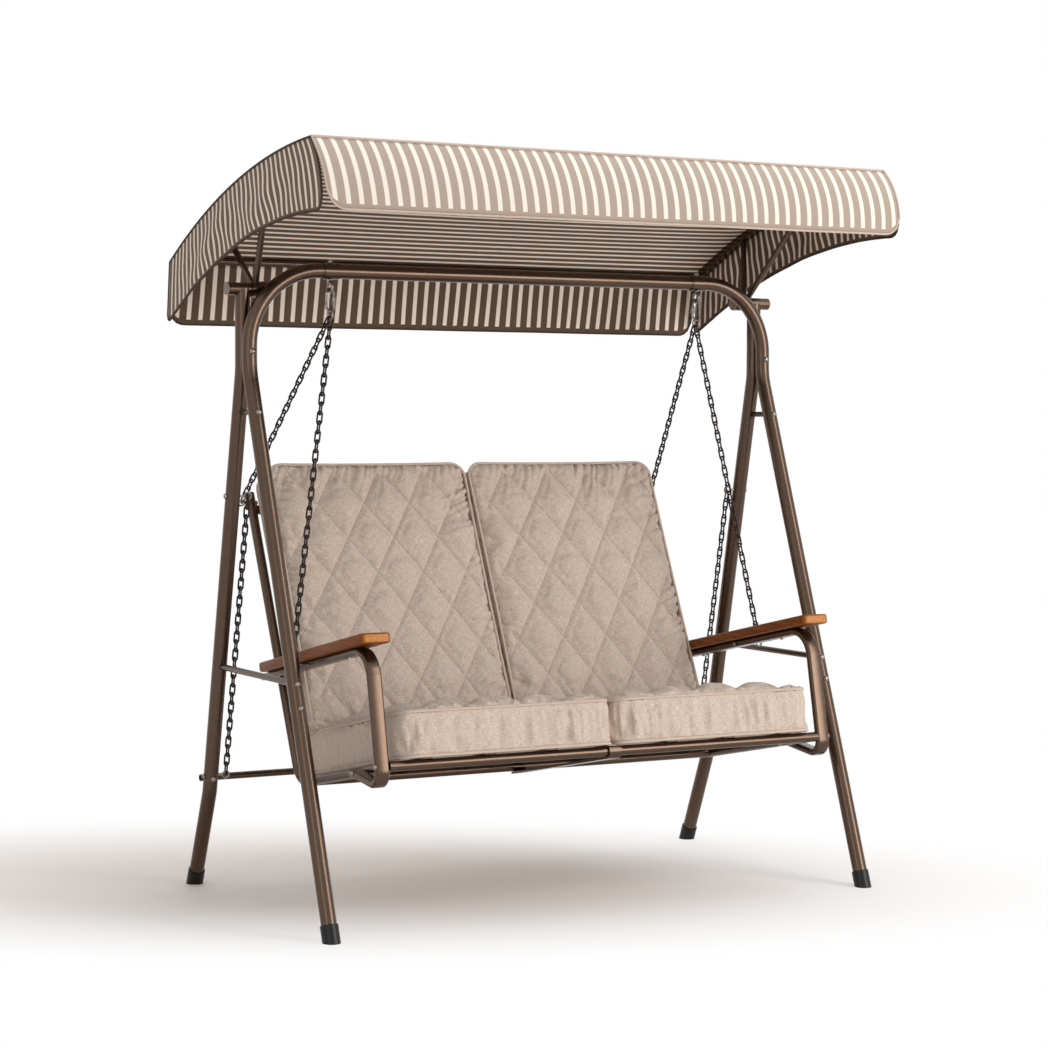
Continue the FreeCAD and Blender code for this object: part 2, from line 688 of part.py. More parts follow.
def arm_pipe(side, inset):
    points = arm_path_points(side)
    path = rounded_path(points, [ARM_BEND_R, ARM_FOOT_R])
    section = rectangle(points[0], X_AXIS * (ARM_TUBE_W / 2 - inset), Z_AXIS * (ARM_TUBE_T / 2 - inset))
    return swept(path, section)


arm_bolts = []
arm_screws = []
for name, side in SIDES.items():
    frame = tube(side_frame_points(side), [SIDE_BEND_R], SEAT_TUBE_D, SEAT_TUBE_WALL)
    arm = arm_pipe(side, 0).cut(arm_pipe(side, ARM_TUBE_WALL))
    upright_at_arm = side_frame_points(side)[1] + back_up * ((ARM_Z + tube_r) / back_up.z)
    tail = vec(0, ARM_TAIL_Y - ARM_TUBE_T, -tube_r - ARM_TUBE_T / 4)
    outside = side * (ARM_X + ARM_TUBE_W / 2)
    inside = side * (SIDE_X - tube_r)
    for place in (upright_at_arm, tail):
        start = vec(outside, place.y, place.z)
        end = vec(inside, place.y, place.z)
        way = vec(side, 0, 0)
        head = head_block(start + way * SNUG, start + way * BOLT_HEAD_H)
        nut = head_block(end + way * tube_r / 2, end - way * BOLT_HEAD_H)
        nut = largest(nut.cut(pipe(side_frame_points(side), [SIDE_BEND_R], SEAT_TUBE_D + 2 * SNUG)))
        arm_bolts.append(shank_bar(start + way * BOLT_HEAD_H / 2, end - way * BOLT_HEAD_H).fuse([head, nut]))
        arm = drilled(arm, start + way * tube_r, end - way * tube_r)
        frame = drilled(frame, start + way * tube_r, end - way * tube_r)
    start = vec(outside, FRONT_RAIL_Y, -tube_r)
    end = vec(side * (arm_inner - SEAT_TUBE_D), FRONT_RAIL_Y, -tube_r)
    head = head_block(start + vec(side * SNUG, 0, 0), start + vec(side * BOLT_HEAD_H, 0, 0))
    arm_bolts.append(shank_bar(start + vec(side * BOLT_HEAD_H / 2, 0, 0), end).fuse(head))
    arm = drilled(arm, start + vec(side * tube_r, 0, 0), end)
    side_frames[name] = frame
    arm_frames[name] = arm

# Bench: rails across, with a plug in each end of the front rail for its bolt
rail_ends = [vec(-arm_inner + SNUG, FRONT_RAIL_Y, -tube_r), vec(arm_inner - SNUG, FRONT_RAIL_Y, -tube_r)]
rail = tube(rail_ends, [], SEAT_TUBE_D, SEAT_TUBE_WALL)
for name, side in SIDES.items():
    plug_start = vec(side * (arm_inner - SNUG), FRONT_RAIL_Y, -tube_r)
    plug_end = vec(side * (arm_inner - SEAT_TUBE_D * 1.2), FRONT_RAIL_Y, -tube_r)
    rail = rail.fuse(prism(plug_end, plug_start, SEAT_TUBE_D - 2 * SEAT_TUBE_WALL, BORE_SIDES))
    rail = drilled(rail, plug_start, plug_end - vec(side * SEAT_TUBE_D / 2, 0, 0))
bench["seat_front_rail"] = rail


def between_sides(place):
    """A rail across the bench from side frame to side frame, its ends shaped to their tubes."""
    start = place - vec(SIDE_X, 0, 0)
    end = place + vec(SIDE_X, 0, 0)
    shape = cylinder(start, end, SEAT_TUBE_D)
    for side in SIDES.values():
        shape = shape.cut(pipe(side_frame_points(side), [SIDE_BEND_R], SEAT_TUBE_D + 2 * SNUG))
    return largest(shape).cut(prism(start, end, SEAT_TUBE_D - 2 * SEAT_TUBE_WALL, BORE_SIDES))


back_root = vec(0, corner_y, -tube_r)
root_offset = tube_r / math.cos(lean) - tube_r * math.tan(lean)
bench["seat_rear_rail"] = between_sides(vec(0, REAR_RAIL_Y, -tube_r))
bench["back_lower_rail"] = between_sides(back_root + back_up * (BACK_LOW_RAIL + root_offset))
bench["back_top_rail"] = between_sides(back_root + back_up * (BACK_TOP_RAIL + root_offset))

# Bench: flat slats, front to rear under the seat and upright behind the back
slat_pitch = 2 * SIDE_X / SLAT_COUNT
seat_slats = []
back_slats = []
for index in range(SLAT_COUNT):
    x = (index - (SLAT_COUNT - 1) / 2) * slat_pitch - SLAT_W / 2
    start_y = FRONT_RAIL_Y - SLAT_OVERHANG
    length = REAR_RAIL_Y + SLAT_OVERHANG - start_y
    seat_slats.append(Part.makeBox(SLAT_W, length, SLAT_T, vec(x, start_y, SNUG)))
    low = BACK_LOW_RAIL - SLAT_OVERHANG
    height = BACK_TOP_RAIL + SLAT_OVERHANG - low
    back_slats.append(on_back(Part.makeBox(SLAT_W, SLAT_T, height, vec(x, -SLAT_T - SNUG, low))))
bench["seat_slats"] = Part.makeCompound(seat_slats)
bench["back_slats"] = Part.makeCompound(back_slats)

# Bench: the middle bearer, a strap under both rails that hooks up round the front rail
wrap_r = tube_r + SNUG + BEARER_T / 2
low_z = -tube_r - wrap_r
wrap_end = math.radians(BEARER_WRAP)
wrap_mid = wrap_end / 2
wrap_points = [
    vec(0, FRONT_RAIL_Y - wrap_r * math.sin(angle), -tube_r - wrap_r * math.cos(angle))
    for angle in (0, wrap_mid, wrap_end)
]
bearer_start = vec(0, REAR_RAIL_Y + tube_r, low_z)
bearer_path = Part.Wire(
    [Part.LineSegment(bearer_start, wrap_points[0]).toShape(), Part.Arc(*wrap_points).toShape()]
)
strap = Part.makePolygon(
    [
        bearer_start + vec(x * BEARER_W / 2, 0, z * BEARER_T / 2)
        for x, z in ((-1, -1), (1, -1), (1, 1), (-1, 1), (-1, -1))
    ]
)
bench["seat_middle_bearer"] = swept(bearer_path, strap)

# Bench: wooden arm pads on the arm tubes, screwed from below
for name, side in SIDES.items():
    pad = Part.makeBox(
        WOOD_W, WOOD_REAR_Y - WOOD_FRONT_Y, WOOD_T,
        vec(side * ARM_X - WOOD_W / 2, WOOD_FRONT_Y, ARM_Z + ARM_TUBE_T / 2 + SNUG),
    )
    pad = pad.makeChamfer(WOOD_ROUND, pad.Edges)
    for y in (WOOD_REAR_Y - WOOD_W, WOOD_FRONT_Y + WOOD_W * 2):
        start = vec(side * ARM_X, y, ARM_Z - ARM_TUBE_T / 2)
        end = vec(side * ARM_X, y, ARM_Z + ARM_TUBE_T / 2 + WOOD_T * 0.7)
        head = head_block(start - vec(0, 0, BOLT_HEAD_H), start - vec(0, 0, SNUG))
        arm_screws.append(shank_bar(start - vec(0, 0, BOLT_HEAD_H / 2), end).fuse(head))
        arm_frames[name] = drilled(arm_frames[name], start - vec(0, 0, 1), end)
        pad = drilled(pad, start, end)
    bench["arm_pad_" + name] = pad


# Bench: cushions, each a loft across its width with a crown on top and sides drawn in between the corners
def cushion(width, low, high, thickness):
    """Lies on z = 0 about x = 0 from y = low to y = high, fullest in the middle."""
    stations = (
        (-0.5, PAD_END, 0.0),
        (-0.5 + PAD_SHOULDER, 0.96, 0.6),
        (0.0, 1.0, 1.0),
        (0.5 - PAD_SHOULDER, 0.96, 0.6),
        (0.5, PAD_END, 0.0),
    )
    sections = []
    for across, full, drawn in stations:
        x = across * width
        height = thickness * full
        base = thickness * (1 - full) / 2
        draw = PAD_DRAW * drawn
        crown = PAD_CROWN * drawn
        near = low + draw
        far = high - draw
        middle = (near + far) / 2
        edge_z = base + height - crown
        bulge = PAD_DRAW * 2 * full
        half_z = (base + edge_z) / 2
        corners = [
            vec(x, near, base),
            vec(x, near - bulge, half_z),
            vec(x, near, edge_z),
            vec(x, (near + middle) / 2, edge_z + crown * 0.75),
            vec(x, middle, edge_z + crown),
            vec(x, (far + middle) / 2, edge_z + crown * 0.75),
            vec(x, far, edge_z),
            vec(x, far + bulge, half_z),
            vec(x, far, base),
        ]
        sections.append(Part.makePolygon(corners + corners[:1]))
    return Part.makeLoft(sections, True, True)


def quilted(width, low, high, thickness):
    """A cushion with diamond channels sewn into its top."""
    floor = cushion(width, low, high, thickness - CHANNEL_DEPTH)
    reach = math.hypot(width, high - low)
    middle = (low + high) / 2
    slant = math.degrees(math.atan2(CHANNEL_PITCH_X, CHANNEL_PITCH_Y))
    count = math.ceil(reach / CHANNEL_PITCH_X / 2)
    blades = []
    for lean in (slant, -slant):
        for step in range(-count, count + 1):
            blade = Part.makeBox(CHANNEL_W, 2 * reach, thickness, vec(-CHANNEL_W / 2, -reach, thickness / 2))
            blade.rotate(vec(0, 0, 0), Z_AXIS, lean)
            blade.translate(vec((step + 0.5) * CHANNEL_PITCH_X, middle, 0))
            blades.append(blade.cut(floor))
    return largest(cushion(width, low, high, thickness).cut(blades))


bulge_room = PAD_DRAW * 2
pad_half = (CUSHION_W + CUSHION_GAP) / 2
for name, side in SIDES.items():
    seat_pad = quilted(CUSHION_W, SEAT_PAD_FRONT_Y + bulge_room, SEAT_PAD_REAR_Y - bulge_room, SEAT_PAD_T)
    seat_pad.translate(vec(side * pad_half, 0, SLAT_T + SEAT_GAP))
    bench["seat_cushion_" + name] = seat_pad
    back_pad = quilted(CUSHION_W, BACK_PAD_BOTTOM + bulge_room, BACK_PAD_TOP - bulge_room, BACK_PAD_T)
    back_pad.rotate(vec(0, 0, 0), X_AXIS, 90)
    back_pad.translate(vec(side * pad_half, -SLAT_T - SEAT_GAP, 0))
    bench["back_cushion_" + name] = on_back(back_pad)


# Chains and the eyes that they hang on
def chain_link(inner_length):
    """One link along Z in the plane of X and Z, cut from square wire with its outer corners taken off."""
    half_w = CHAIN_W / 2
    half_l = inner_length / 2 + CHAIN_WIRE
    face_y = -CHAIN_WIRE / 2
    quarter = [(half_w - CHAIN_CORNER, half_l), (half_w, half_l - CHAIN_CORNER)]
    half = quarter + [(x, -z) for x, z in reversed(quarter)]
    outline = [vec(x, face_y, z) for x, z in half + [(-x, -z) for x, z in half]]
    rim = Part.makePolygon(outline + outline[:1])
    opening = rectangle(vec(0, face_y, 0), X_AXIS * (half_w - CHAIN_WIRE), Z_AXIS * inner_length / 2)
    return Part.Face(rim).cut(Part.Face(opening)).extrude(vec(0, CHAIN_WIRE, 0))


def chain(start, start_wire, end, end_wire, turned):
    """Links from the wire of one ring to the wire of another, hooked round both.

    The first link stands square to the ring at the start: turned, where that ring lies along X.
    """
    way = unit(end - start)
    across = unit(X_AXIS - way * X_AXIS.dot(way))
    other = way.cross(across)
    slack = SEAT_GAP + CHAIN_WIRE / 2 + abs(way.x) * CHAIN_WIRE
    first = start - way * (start_wire / 2 + slack)
    last = end + way * (end_wire / 2 + slack)
    span = (last - first).Length
    count = 2 * round((span - CHAIN_WIRE) / CHAIN_PITCH / 2) + turned
    inner = (span - CHAIN_WIRE + (count - 1) * SEAT_GAP) / count
    pitch = inner - SEAT_GAP
    model = chain_link(inner)
    links = []
    for index in range(count):
        centre = first + way * ((inner + CHAIN_WIRE) / 2 + index * pitch)
        wide = across if index % 2 == turned else other
        link = model.copy()
        link.Placement = FreeCAD.Placement(centre, FreeCAD.Rotation(wide, way.cross(wide), way, "ZXY"))
        links.append(link)
    return Part.makeCompound(links)


def in_plane(vector):
    """The way of a vector in the plane of Y and Z."""
    return unit(vec(0, vector.y, vector.z))


def side_eye(centre, shank_end, pull):
    """An eye bolt whose shank runs along X and whose ring takes a chain that pulls along the given way."""
    ring = wire_ring(centre, pull, X_AXIS.cross(pull), CHAIN_EYE_R, 0, CHAIN_EYE_WIRE)
    towards = unit(vec(shank_end.x - centre.x, 0, 0))
    shank = shank_bar(centre + towards * CHAIN_EYE_R, shank_end)
    nut = head_block(shank_end - towards * BOLT_HEAD_H, shank_end - towards * SNUG)
    return ring.fuse([shank, nut])


place = bench_place()
level_turn = place.inverse().Rotation
link_low_z = pivot_z - LINK_LENGTH
ring_z = link_low_z + LINK_WIRE / 2 + SEAT_GAP + RING_WIRE / 2 - RING_R
hanger_links = []
chain_rings = []
arm_eyes = []
back_eyes = []
park_eyes = []
for name, side in SIDES.items():
    x = side * HOOK_X
    outer_w = LINK_HALF_W + LINK_WIRE / 2
    pin_reach = vec(outer_w, 0, 0)
    pin = vec(x, 0, pivot_z)
    link_height = pivot_z - link_low_z + LINK_WIRE / 2
    loop = Part.makeBox(2 * outer_w, LINK_WIRE, link_height, vec(x - outer_w, -LINK_WIRE / 2, link_low_z - LINK_WIRE / 2))
    gap_w = 2 * (LINK_HALF_W - LINK_WIRE / 2)
    loop = loop.cut(
        Part.makeBox(gap_w, 2 * LINK_WIRE, link_height, vec(x - gap_w / 2, -LINK_WIRE, link_low_z + LINK_WIRE / 2))
    )
    loop = loop.fuse(cylinder(pin - pin_reach, pin + pin_reach, LINK_WIRE))
    sleeve_foot = vec(x - side * LINK_HALF_W, 0, (pivot_z + link_low_z - LINK_SLEEVE_L) / 2)
    loop = loop.fuse(prism(sleeve_foot, sleeve_foot + vec(0, 0, LINK_SLEEVE_L), LINK_SLEEVE_D, HEAD_SIDES))
    hanger_links.append(loop)
    centre = vec(x, 0, ring_z)
    chain_rings.append(wire_ring(centre, Z_AXIS, X_AXIS, RING_R, 0, RING_WIRE))

    level = vec(side * (ARM_X + ARM_EYE_REACH), FRONT_EYE_Y, ARM_Z)
    front_end = place.multVec(level)
    pull = in_plane(centre - front_end)
    stop = level - vec(side * (ARM_EYE_REACH + ARM_TUBE_W / 2 + BOLT_HEAD_H), 0, 0)
    arm_eyes.append(side_eye(level, stop, level_turn.multVec(pull)))
    eye_wire = front_end + pull * CHAIN_EYE_R
    nodes["front_chain_" + name] = chain(centre - pull * RING_R, RING_WIRE, eye_wire, CHAIN_EYE_WIRE, 0)
    hole_out = level - vec(side * CHAIN_EYE_R, 0, 0)
    hole_in = level - vec(side * ARM_EYE_REACH * 2, 0, 0)
    arm_frames[name] = drilled(arm_frames[name], hole_out, hole_in)

    level = back_root + back_up * BACK_EYE_S + vec(side * (SIDE_X + BACK_EYE_REACH), 0, 0)
    rear_end = place.multVec(level)
    pull = in_plane(centre - rear_end)
    stop = vec(side * (SIDE_X - tube_r - BOLT_HEAD_H), level.y, level.z)
    back_eyes.append(side_eye(level, stop, level_turn.multVec(pull)))
    eye_wire = rear_end + pull * CHAIN_EYE_R
    nodes["rear_chain_" + name] = chain(centre - pull * RING_R, RING_WIRE, eye_wire, CHAIN_EYE_WIRE, 0)
    hole_out = level - vec(side * CHAIN_EYE_R, 0, 0)
    hole_in = vec(side * (SIDE_X - SEAT_TUBE_D), level.y, level.z)
    side_frames[name] = drilled(side_frames[name], hole_out, hole_in)

    leg_in = side * (LEG_X - TUBE_D / 2)
    top = vec(leg_in - side * PARK_STANDOFF, rear_leg_y(PARK_TOP_Z), PARK_TOP_Z)
    low = vec(leg_in - side * PARK_STANDOFF, rear_leg_y(PARK_LOW_Z), PARK_LOW_Z)
    rise = unit(top - low)
    for end, pull in ((top, -rise), (low, rise)):
        shank_end = vec(side * (LEG_X + TUBE_D / 2 + BOLT_HEAD_H), end.y, end.z)
        park_eyes.append(side_eye(end, shank_end, pull))
        hole_in = vec(leg_in - side * CHAIN_EYE_WIRE, end.y, end.z)
        nodes["rear_leg_" + name] = drilled(nodes["rear_leg_" + name], hole_in, shank_end)
    eye_reach = rise * CHAIN_EYE_R
    nodes["parking_chain_" + name] = chain(low + eye_reach, CHAIN_EYE_WIRE, top - eye_reach, CHAIN_EYE_WIRE, 1)

for name in SIDES:
    bench["seat_side_frame_" + name] = side_frames[name]
    bench["arm_frame_" + name] = arm_frames[name]
bench["arm_eyes"] = Part.makeCompound(arm_eyes)
bench["back_eyes"] = Part.makeCompound(back_eyes)
bench["arm_bolts"] = Part.makeCompound(arm_bolts)
bench["arm_screws"] = Part.makeCompound(arm_screws)
for name, shape in bench.items():
    shape.Placement = place.multiply(shape.Placement)
    nodes[name] = shape

nodes["hanger_links"] = Part.makeCompound(hanger_links)
nodes["chain_rings"] = Part.makeCompound(chain_rings)
nodes["parking_eyes"] = Part.makeCompound(park_eyes)
nodes["apex_bolts"] = Part.makeCompound(apex_bolts)
nodes["apex_spacers"] = Part.makeCompound(apex_spacers)
nodes["brace_bolts"] = Part.makeCompound(brace_bolts)
nodes["cross_tube_bolts"] = Part.makeCompound(cross_bolts)
nodes["canopy_bolts"] = Part.makeCompound(rail_bolts + strut_bolts)

os.makedirs("parts", exist_ok=True)
for name, shape in nodes.items():
    shape.translate(vec(0, HOOP_Y, 0))
    shape.exportStep("parts/" + name + ".step")
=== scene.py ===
import json
import math

import bmesh
import bpy
from mathutils import Matrix, Vector, noise


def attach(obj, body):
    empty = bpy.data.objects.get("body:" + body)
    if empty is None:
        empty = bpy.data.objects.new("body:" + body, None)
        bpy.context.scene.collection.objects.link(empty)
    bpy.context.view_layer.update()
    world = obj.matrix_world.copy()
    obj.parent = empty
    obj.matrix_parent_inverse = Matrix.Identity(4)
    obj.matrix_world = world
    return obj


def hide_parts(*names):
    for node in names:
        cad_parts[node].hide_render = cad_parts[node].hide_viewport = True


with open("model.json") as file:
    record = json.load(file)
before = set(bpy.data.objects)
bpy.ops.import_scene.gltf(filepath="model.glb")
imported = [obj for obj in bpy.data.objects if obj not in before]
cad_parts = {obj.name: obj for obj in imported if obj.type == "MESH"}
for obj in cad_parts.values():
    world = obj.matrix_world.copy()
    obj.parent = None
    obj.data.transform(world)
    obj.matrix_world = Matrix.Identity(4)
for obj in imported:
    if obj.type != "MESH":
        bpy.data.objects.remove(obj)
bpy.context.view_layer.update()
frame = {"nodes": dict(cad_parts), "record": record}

# A two-seat garden swing, dressed over its solids.
# Metres and degrees, in the frame of the solids: +Z up, +X right, front towards -Y.
MM = 0.001
SIDES = {"left": -1, "right": 1}
UP = Vector((0, 0, 1))
RIGHT = Vector((1, 0, 0))
BACKWARD = Vector((0, 1, 0))

# Canopy cloth: where it lies and how it hangs
HOOP_Y = 0.06125
CANOPY_MIDDLE = Vector((0, HOOP_Y, 1.60))
CANOPY_HALF = 0.820
CLOTH_T = 0.0018
ROOF_R = 2.150
ROOF_FRONT = Vector((0, -0.480 + HOOP_Y, 1.882))
ROOF_REAR = Vector((0, 0.410 + HOOP_Y, 1.633))
ROOF_SAG = 0.012
RAIL_INSET = 0.04
VALANCE_R = 0.217
VALANCE_LOW = Vector((0, -0.562 + HOOP_Y, 1.710))
VALANCE_INSET = 0.009
VALANCE_CORNER_R = 0.045
VALANCE_HANG = 0.002
VALANCE_WAVE = 0.003
VALANCE_WAVE_TURN = 13.0
VALANCE_WAVE_START = 1.3
SIDE_DROP = 0.160
SIDE_FRONT_SLIT = Vector((0, 0.020, -0.004))
SIDE_REAR_CORNER_R = 0.022
SIDE_FRONT_CORNER_R = 0.03
SIDE_STANDOFF = 0.0012
SIDE_FOLD = 0.003
SIDE_FULLNESS = 1.6
REAR_LOW = Vector((0, 0.437 + HOOP_Y, 1.473))
REAR_TOP_INSET = Vector((0, 0.0022, 0.001))
REAR_SLIT = 0.010
REAR_CORNER_R = 0.04
REAR_RIPPLE = 0.005
REAR_RIPPLE_TURN = 15.0
REAR_RIPPLE_START = 0.6
REAR_DROP = 0.16
ROOF_GRID = (110, 70)
SIDE_GRID = (90, 20)
REAR_GRID = (110, 14)
END_CROWDING = 0.45

# Canopy cloth: stripes and hems
STRIPE_PITCH = 0.0334
ROOF_STRIPE_PITCH = 0.0267
CREAM_SHARE = 0.37
STRIPE_BLUR = 0.12
BINDING_W = 0.013
FRONT_END_HEM = 0.6
SIDE_HEM = 0.4
HEM_R = 0.0028
REAR_HEM_R = 0.003
SEAM_CORD_R = 0.0032
HEM_STEPS = 90
VALANCE_HEM_STEPS = 24

# Cushions: where they lie
SEAT_ORIGIN = Vector((0, 0.0478 + HOOP_Y, 0.310))
SEAT_TILT = 11.5
BACK_LEAN = 12.9
CUSHION_W = 0.592
CUSHION_PITCH = 0.596
SEAT_PAD = (-0.578, -0.006)
BACK_PAD = (0.088, 0.838)
PAD_GAP = 0.0034
SEAT_EDGE = 0.112
BACK_EDGE = 0.086
SEAT_CROWN = 0.032
BACK_CROWN = 0.026
CROWN_POWER = 0.4
SEAT_SEED = 3.7
BACK_SEED = 8.1

# Cushions: the cover before it is filled
VOXEL = 0.0075
PAD_CORNER = 0.042
PAD_DRAW = 0.003
LOW_DRAW = 0.3
COVER_INSET = 0.006
COVER_ROUND = 0.010
CROWN_FROM = 0.7
CROWN_RIM = 0.008
SEWN_RIM = 0.03
SEWN_REACH = 0.62
SEWN_DIP = 0.003
FOOT_PIN = 0.006
RIM_PIN = (0.011, 0.014)

# Cushions: the filling, and the furthest that it moves a point across, along and up
FILLING = {
    "quality": 4,
    "mass": 0.25,
    "tension_stiffness": 12,
    "compression_stiffness": 12,
    "shear_stiffness": 6,
    "bending_stiffness": 0.6,
    "shrink_min": -0.05,
    "use_pressure": True,
    "uniform_pressure_force": 4.0,
}
FILL_FRAMES = 20
FILL_CAP = (0.005, 0.006, 0.016)

# Cushions: where the back cushions press the seat cushions down
PRESS_GAP = 0.004
PRESS_START = -0.140
PRESS_RAMP = 0.040

# Cushions: quilting, gathers and folds
DIAMOND_W = 0.134
DIAMOND_H = 0.200
DIAMOND_SHIFTS = {"left": (0.031, 0.052), "right": (-0.046, 0.052)}
STITCH_HALF_W = 0.0028
TOP_FACING = 0.35
TOP_FROM = 0.75
FLAT_FACING = 0.6
SIDE_FACING = 0.8
SEAM_W = 0.0065
SEAM_DEPTH = 0.003
SEAM_FADE = (0.01, 0.03)
VALLEY_W = 0.026
VALLEY_DEPTH = 0.0052
GATHER_DEPTH = 0.014
GATHER_LEAN = 0.4
GATHER_PER_M = 36
GATHER_NARROW = 3.2
GATHER_POWER = 1.5
GATHER_DRIFT = 4
GATHER_START = 0.006
GATHER_REACH = 0.052
BUNCH_PER_M = 6
BUNCH_LEAST = 0.75
BUNCH_MORE = 1.8
BUNCH_SHIFT = 0.1
BUNCH_SEED = 4.0
EDGE_SEED = 9.0
FOLD_DEPTH = 0.012
FOLD_PER_M = 46
FINE_FOLD_PER_M = 95
FINE_FOLD = 0.4
FOLD_BUNCH_PER_M = 5
FOLD_LEAST = 0.3
FOLD_MORE = 2.0
FOLD_DRIFT = 3
FINE_FOLD_DRIFT = 5
FOLD_FROM = 0.008

# Cushions: piping
PIPING_R = 0.0038
PIPING_INSET = 0.004
PIPING_DOWN = 0.003
LOW_PIPING_Z = 0.002

# Chains, hangers and eye bolts
CHAIN_WIRE_R = 0.0024
CHAIN_LINK_W = 0.0175
HOOK_X = 0.55
EYE_Z = 1.5609
EYE_R = 0.013
EYE_WIRE = 0.008
EYE_NUT = (1.6211, 1.6281, 0.015)
EYE_TIP = 0.001
PIN_Z = 1.5557
HANGER_LOW_Z = 1.4997
HANGER_HALF_W = 0.011
HANGER_WIRE = 0.007
SLEEVE = (0.020, 0.012)
RING_Z = 1.4910
RING_R = 0.015
RING_WIRE = 0.005
SMALL_EYE_R = 0.009
SMALL_EYE_WIRE = 0.005
REAR_LEG_LINE = Vector((0, -0.2, 1.0))

# Bolts and plugs
BOLT_R = 0.003
BOLT_TIP = 0.002
NUT_H = 0.0045
NUT_ACROSS = 0.013
BIG_NUT_EDGE = 0.0012
SLEEVE_EDGE = 0.001
NUT_EDGE = 0.0008
CRISP_ANGLE = 40
DOME_R = 0.0072
DOME_H = 0.0048
DOME_FOOT = 0.003
DOME_OUTLINE = ((0.0, 1.0), (0.45, 0.9), (0.78, 0.62), (0.96, 0.25), (1.0, 0.0))
PLUG_R = 0.0123
PLUG_RISE = 0.003
PLUG_DEPTH = 0.008
PLUG_EDGE = 0.0015

# Arms
ARM_X = 0.637
ARM_SECTION = (0.036, 0.018)
ARM_EDGE_R = 0.006
ARM_REAR_Y = 0.095
ARM_FRONT_Y = -0.540
ARM_Z = 0.271
ARM_BEND_R = 0.070
ARM_FOOT_Z = -0.062
ARM_FOOT_R = 0.030
ARM_TAIL = (-0.390, -0.0125)
WOOD = (0.082, 0.633, 0.025)
WOOD_MIDDLE_Y = (-0.573 + 0.060) / 2
WOOD_CORNER_R = 0.016
WOOD_EDGE_R = 0.006

# Studio and the photograph's camera
FLOOR_HALF = 40.0
SHADOW_AT = (-0.45, 0.32, 0.0)
SHADOW_TURN = -29.0
SHADOW_HALF = (2.25, 1.10, 1.0)
SHADOW_FADE = 0.25
SOFT_LIGHT = 0.52
LIT_POINT = Vector((0.0, 0.0, 0.9))
SOFTBOXES = {
    "key_softbox": (Vector((3.2, -4.8, 4.6)), (2.4, 2.4), 90),
    "front_softbox": (Vector((2.9, -5.1, 1.7)), (2.4, 2.6), 130),
    "fill_softbox": (Vector((-4.6, -3.6, 2.2)), (2.0, 2.6), 20),
    "top_softbox": (Vector((0.6, 0.5, 5.5)), (3.0, 2.4), 110),
}
CAMERA_AT = Vector((-3.281, -5.863, 1.252))
CAMERA_WAY = Vector((0.48563, 0.87303, -0.04445))
CAMERA_ROLL = 0.28
LENS_MM = 88.1
SENSOR_MM = 36.0


# Materials
def linear(hex_colour):
    """An sRGB hex colour as linear red, green, blue and alpha."""
    channels = []
    for start in (1, 3, 5):
        value = int(hex_colour[start:start + 2], 16) / 255
        channels.append(value / 12.92 if value <= 0.04045 else ((value + 0.055) / 1.055) ** 2.4)
    return (*channels, 1.0)


def join(tree, source, node, key):
    """Links an output, or a node's first output, to a node's socket."""
    output = source.outputs[0] if isinstance(source, bpy.types.Node) else source
    tree.links.new(output, node.inputs[key])


def add(tree, kind, settings=None, links=None):
    """Adds a node, sets its sockets, properties or colour stops by name, and links its sockets."""
    node = tree.nodes.new("ShaderNode" + kind)
    for key, value in (settings or {}).items():
        if key == "stops":
            band = node.color_ramp.elements
            while len(band) < len(value):
                band.new(0.5)
            for element, (place, colour) in zip(band, value):
                element.position = place
                element.color = linear(colour)
        elif isinstance(key, int) or key in node.inputs:
            node.inputs[key].default_value = value
        else:
            setattr(node, key, value)
    for key, source in (links or {}).items():
        join(tree, source, node, key)
    return node


def material(name, shader):
    """A material with one principled shader, its node tree and that shader."""
    made = bpy.data.materials.new(name)
    made.use_nodes = True
    tree = made.node_tree
    tree.nodes.clear()
    surface = add(tree, "BsdfPrincipled", shader)
    add(tree, "OutputMaterial", links={"Surface": surface})
    return made, tree, surface


def speckle(tree, size_mm, detail=3.0, breakup=0.5, stretch=(1, 1, 1)):
    """Lumps of about this size on object coordinates, drawn out along an axis by a stretch above 1."""
    place = add(tree, "TexCoord")
    scale = tuple(1 / (size_mm * MM * part) for part in stretch)
    sized = add(tree, "Mapping", {"Scale": scale}, {"Vector": place.outputs["Object"]})
    lumps = {"Scale": 1.0, "Detail": detail, "Roughness": breakup}
    return add(tree, "TexNoise", lumps, {"Vector": sized})


def finish(tree, surface, colour, pattern, rough, depth_mm=0.0, strength=1.0, height=None):
    """Gives a shader its colour, its roughness from a pattern and, where there is depth, its relief."""
    join(tree, colour, surface, "Base Color")
    spread = add(tree, "MapRange", {"To Min": rough[0], "To Max": rough[1]}, {"Value": pattern})
    join(tree, spread, surface, "Roughness")
    if depth_mm:
        relief = {"Distance": depth_mm * MM, "Strength": strength}
        bump = add(tree, "Bump", relief, {"Height": pattern if height is None else height})
        join(tree, bump, surface, "Normal")


def mottled(name, shader, specks, stops, rough, depth_mm=0.0, strength=1.0, relief=None):
    """A material coloured by specks, with roughness and relief from them or from lumps of their own."""
    made, tree, surface = material(name, shader)
    pattern = speckle(tree, *specks)
    colour = add(tree, "ValToRGB", {"stops": stops}, {"Fac": pattern})
    if relief:
        pattern = speckle(tree, *relief)
    finish(tree, surface, colour, pattern, rough, depth_mm, strength)
    return made


def moulded_plastic(name, dark, light, rough):
    """Moulded polyethylene caps: a soft gloss over a spark-eroded grain, drawn coarse enough to show."""
    shader = {"IOR": 1.5, "Specular IOR Level": 0.3}
    return mottled(name, shader, (1.5, 3.0), [(0.3, dark), (0.7, light)], rough, 0.08)


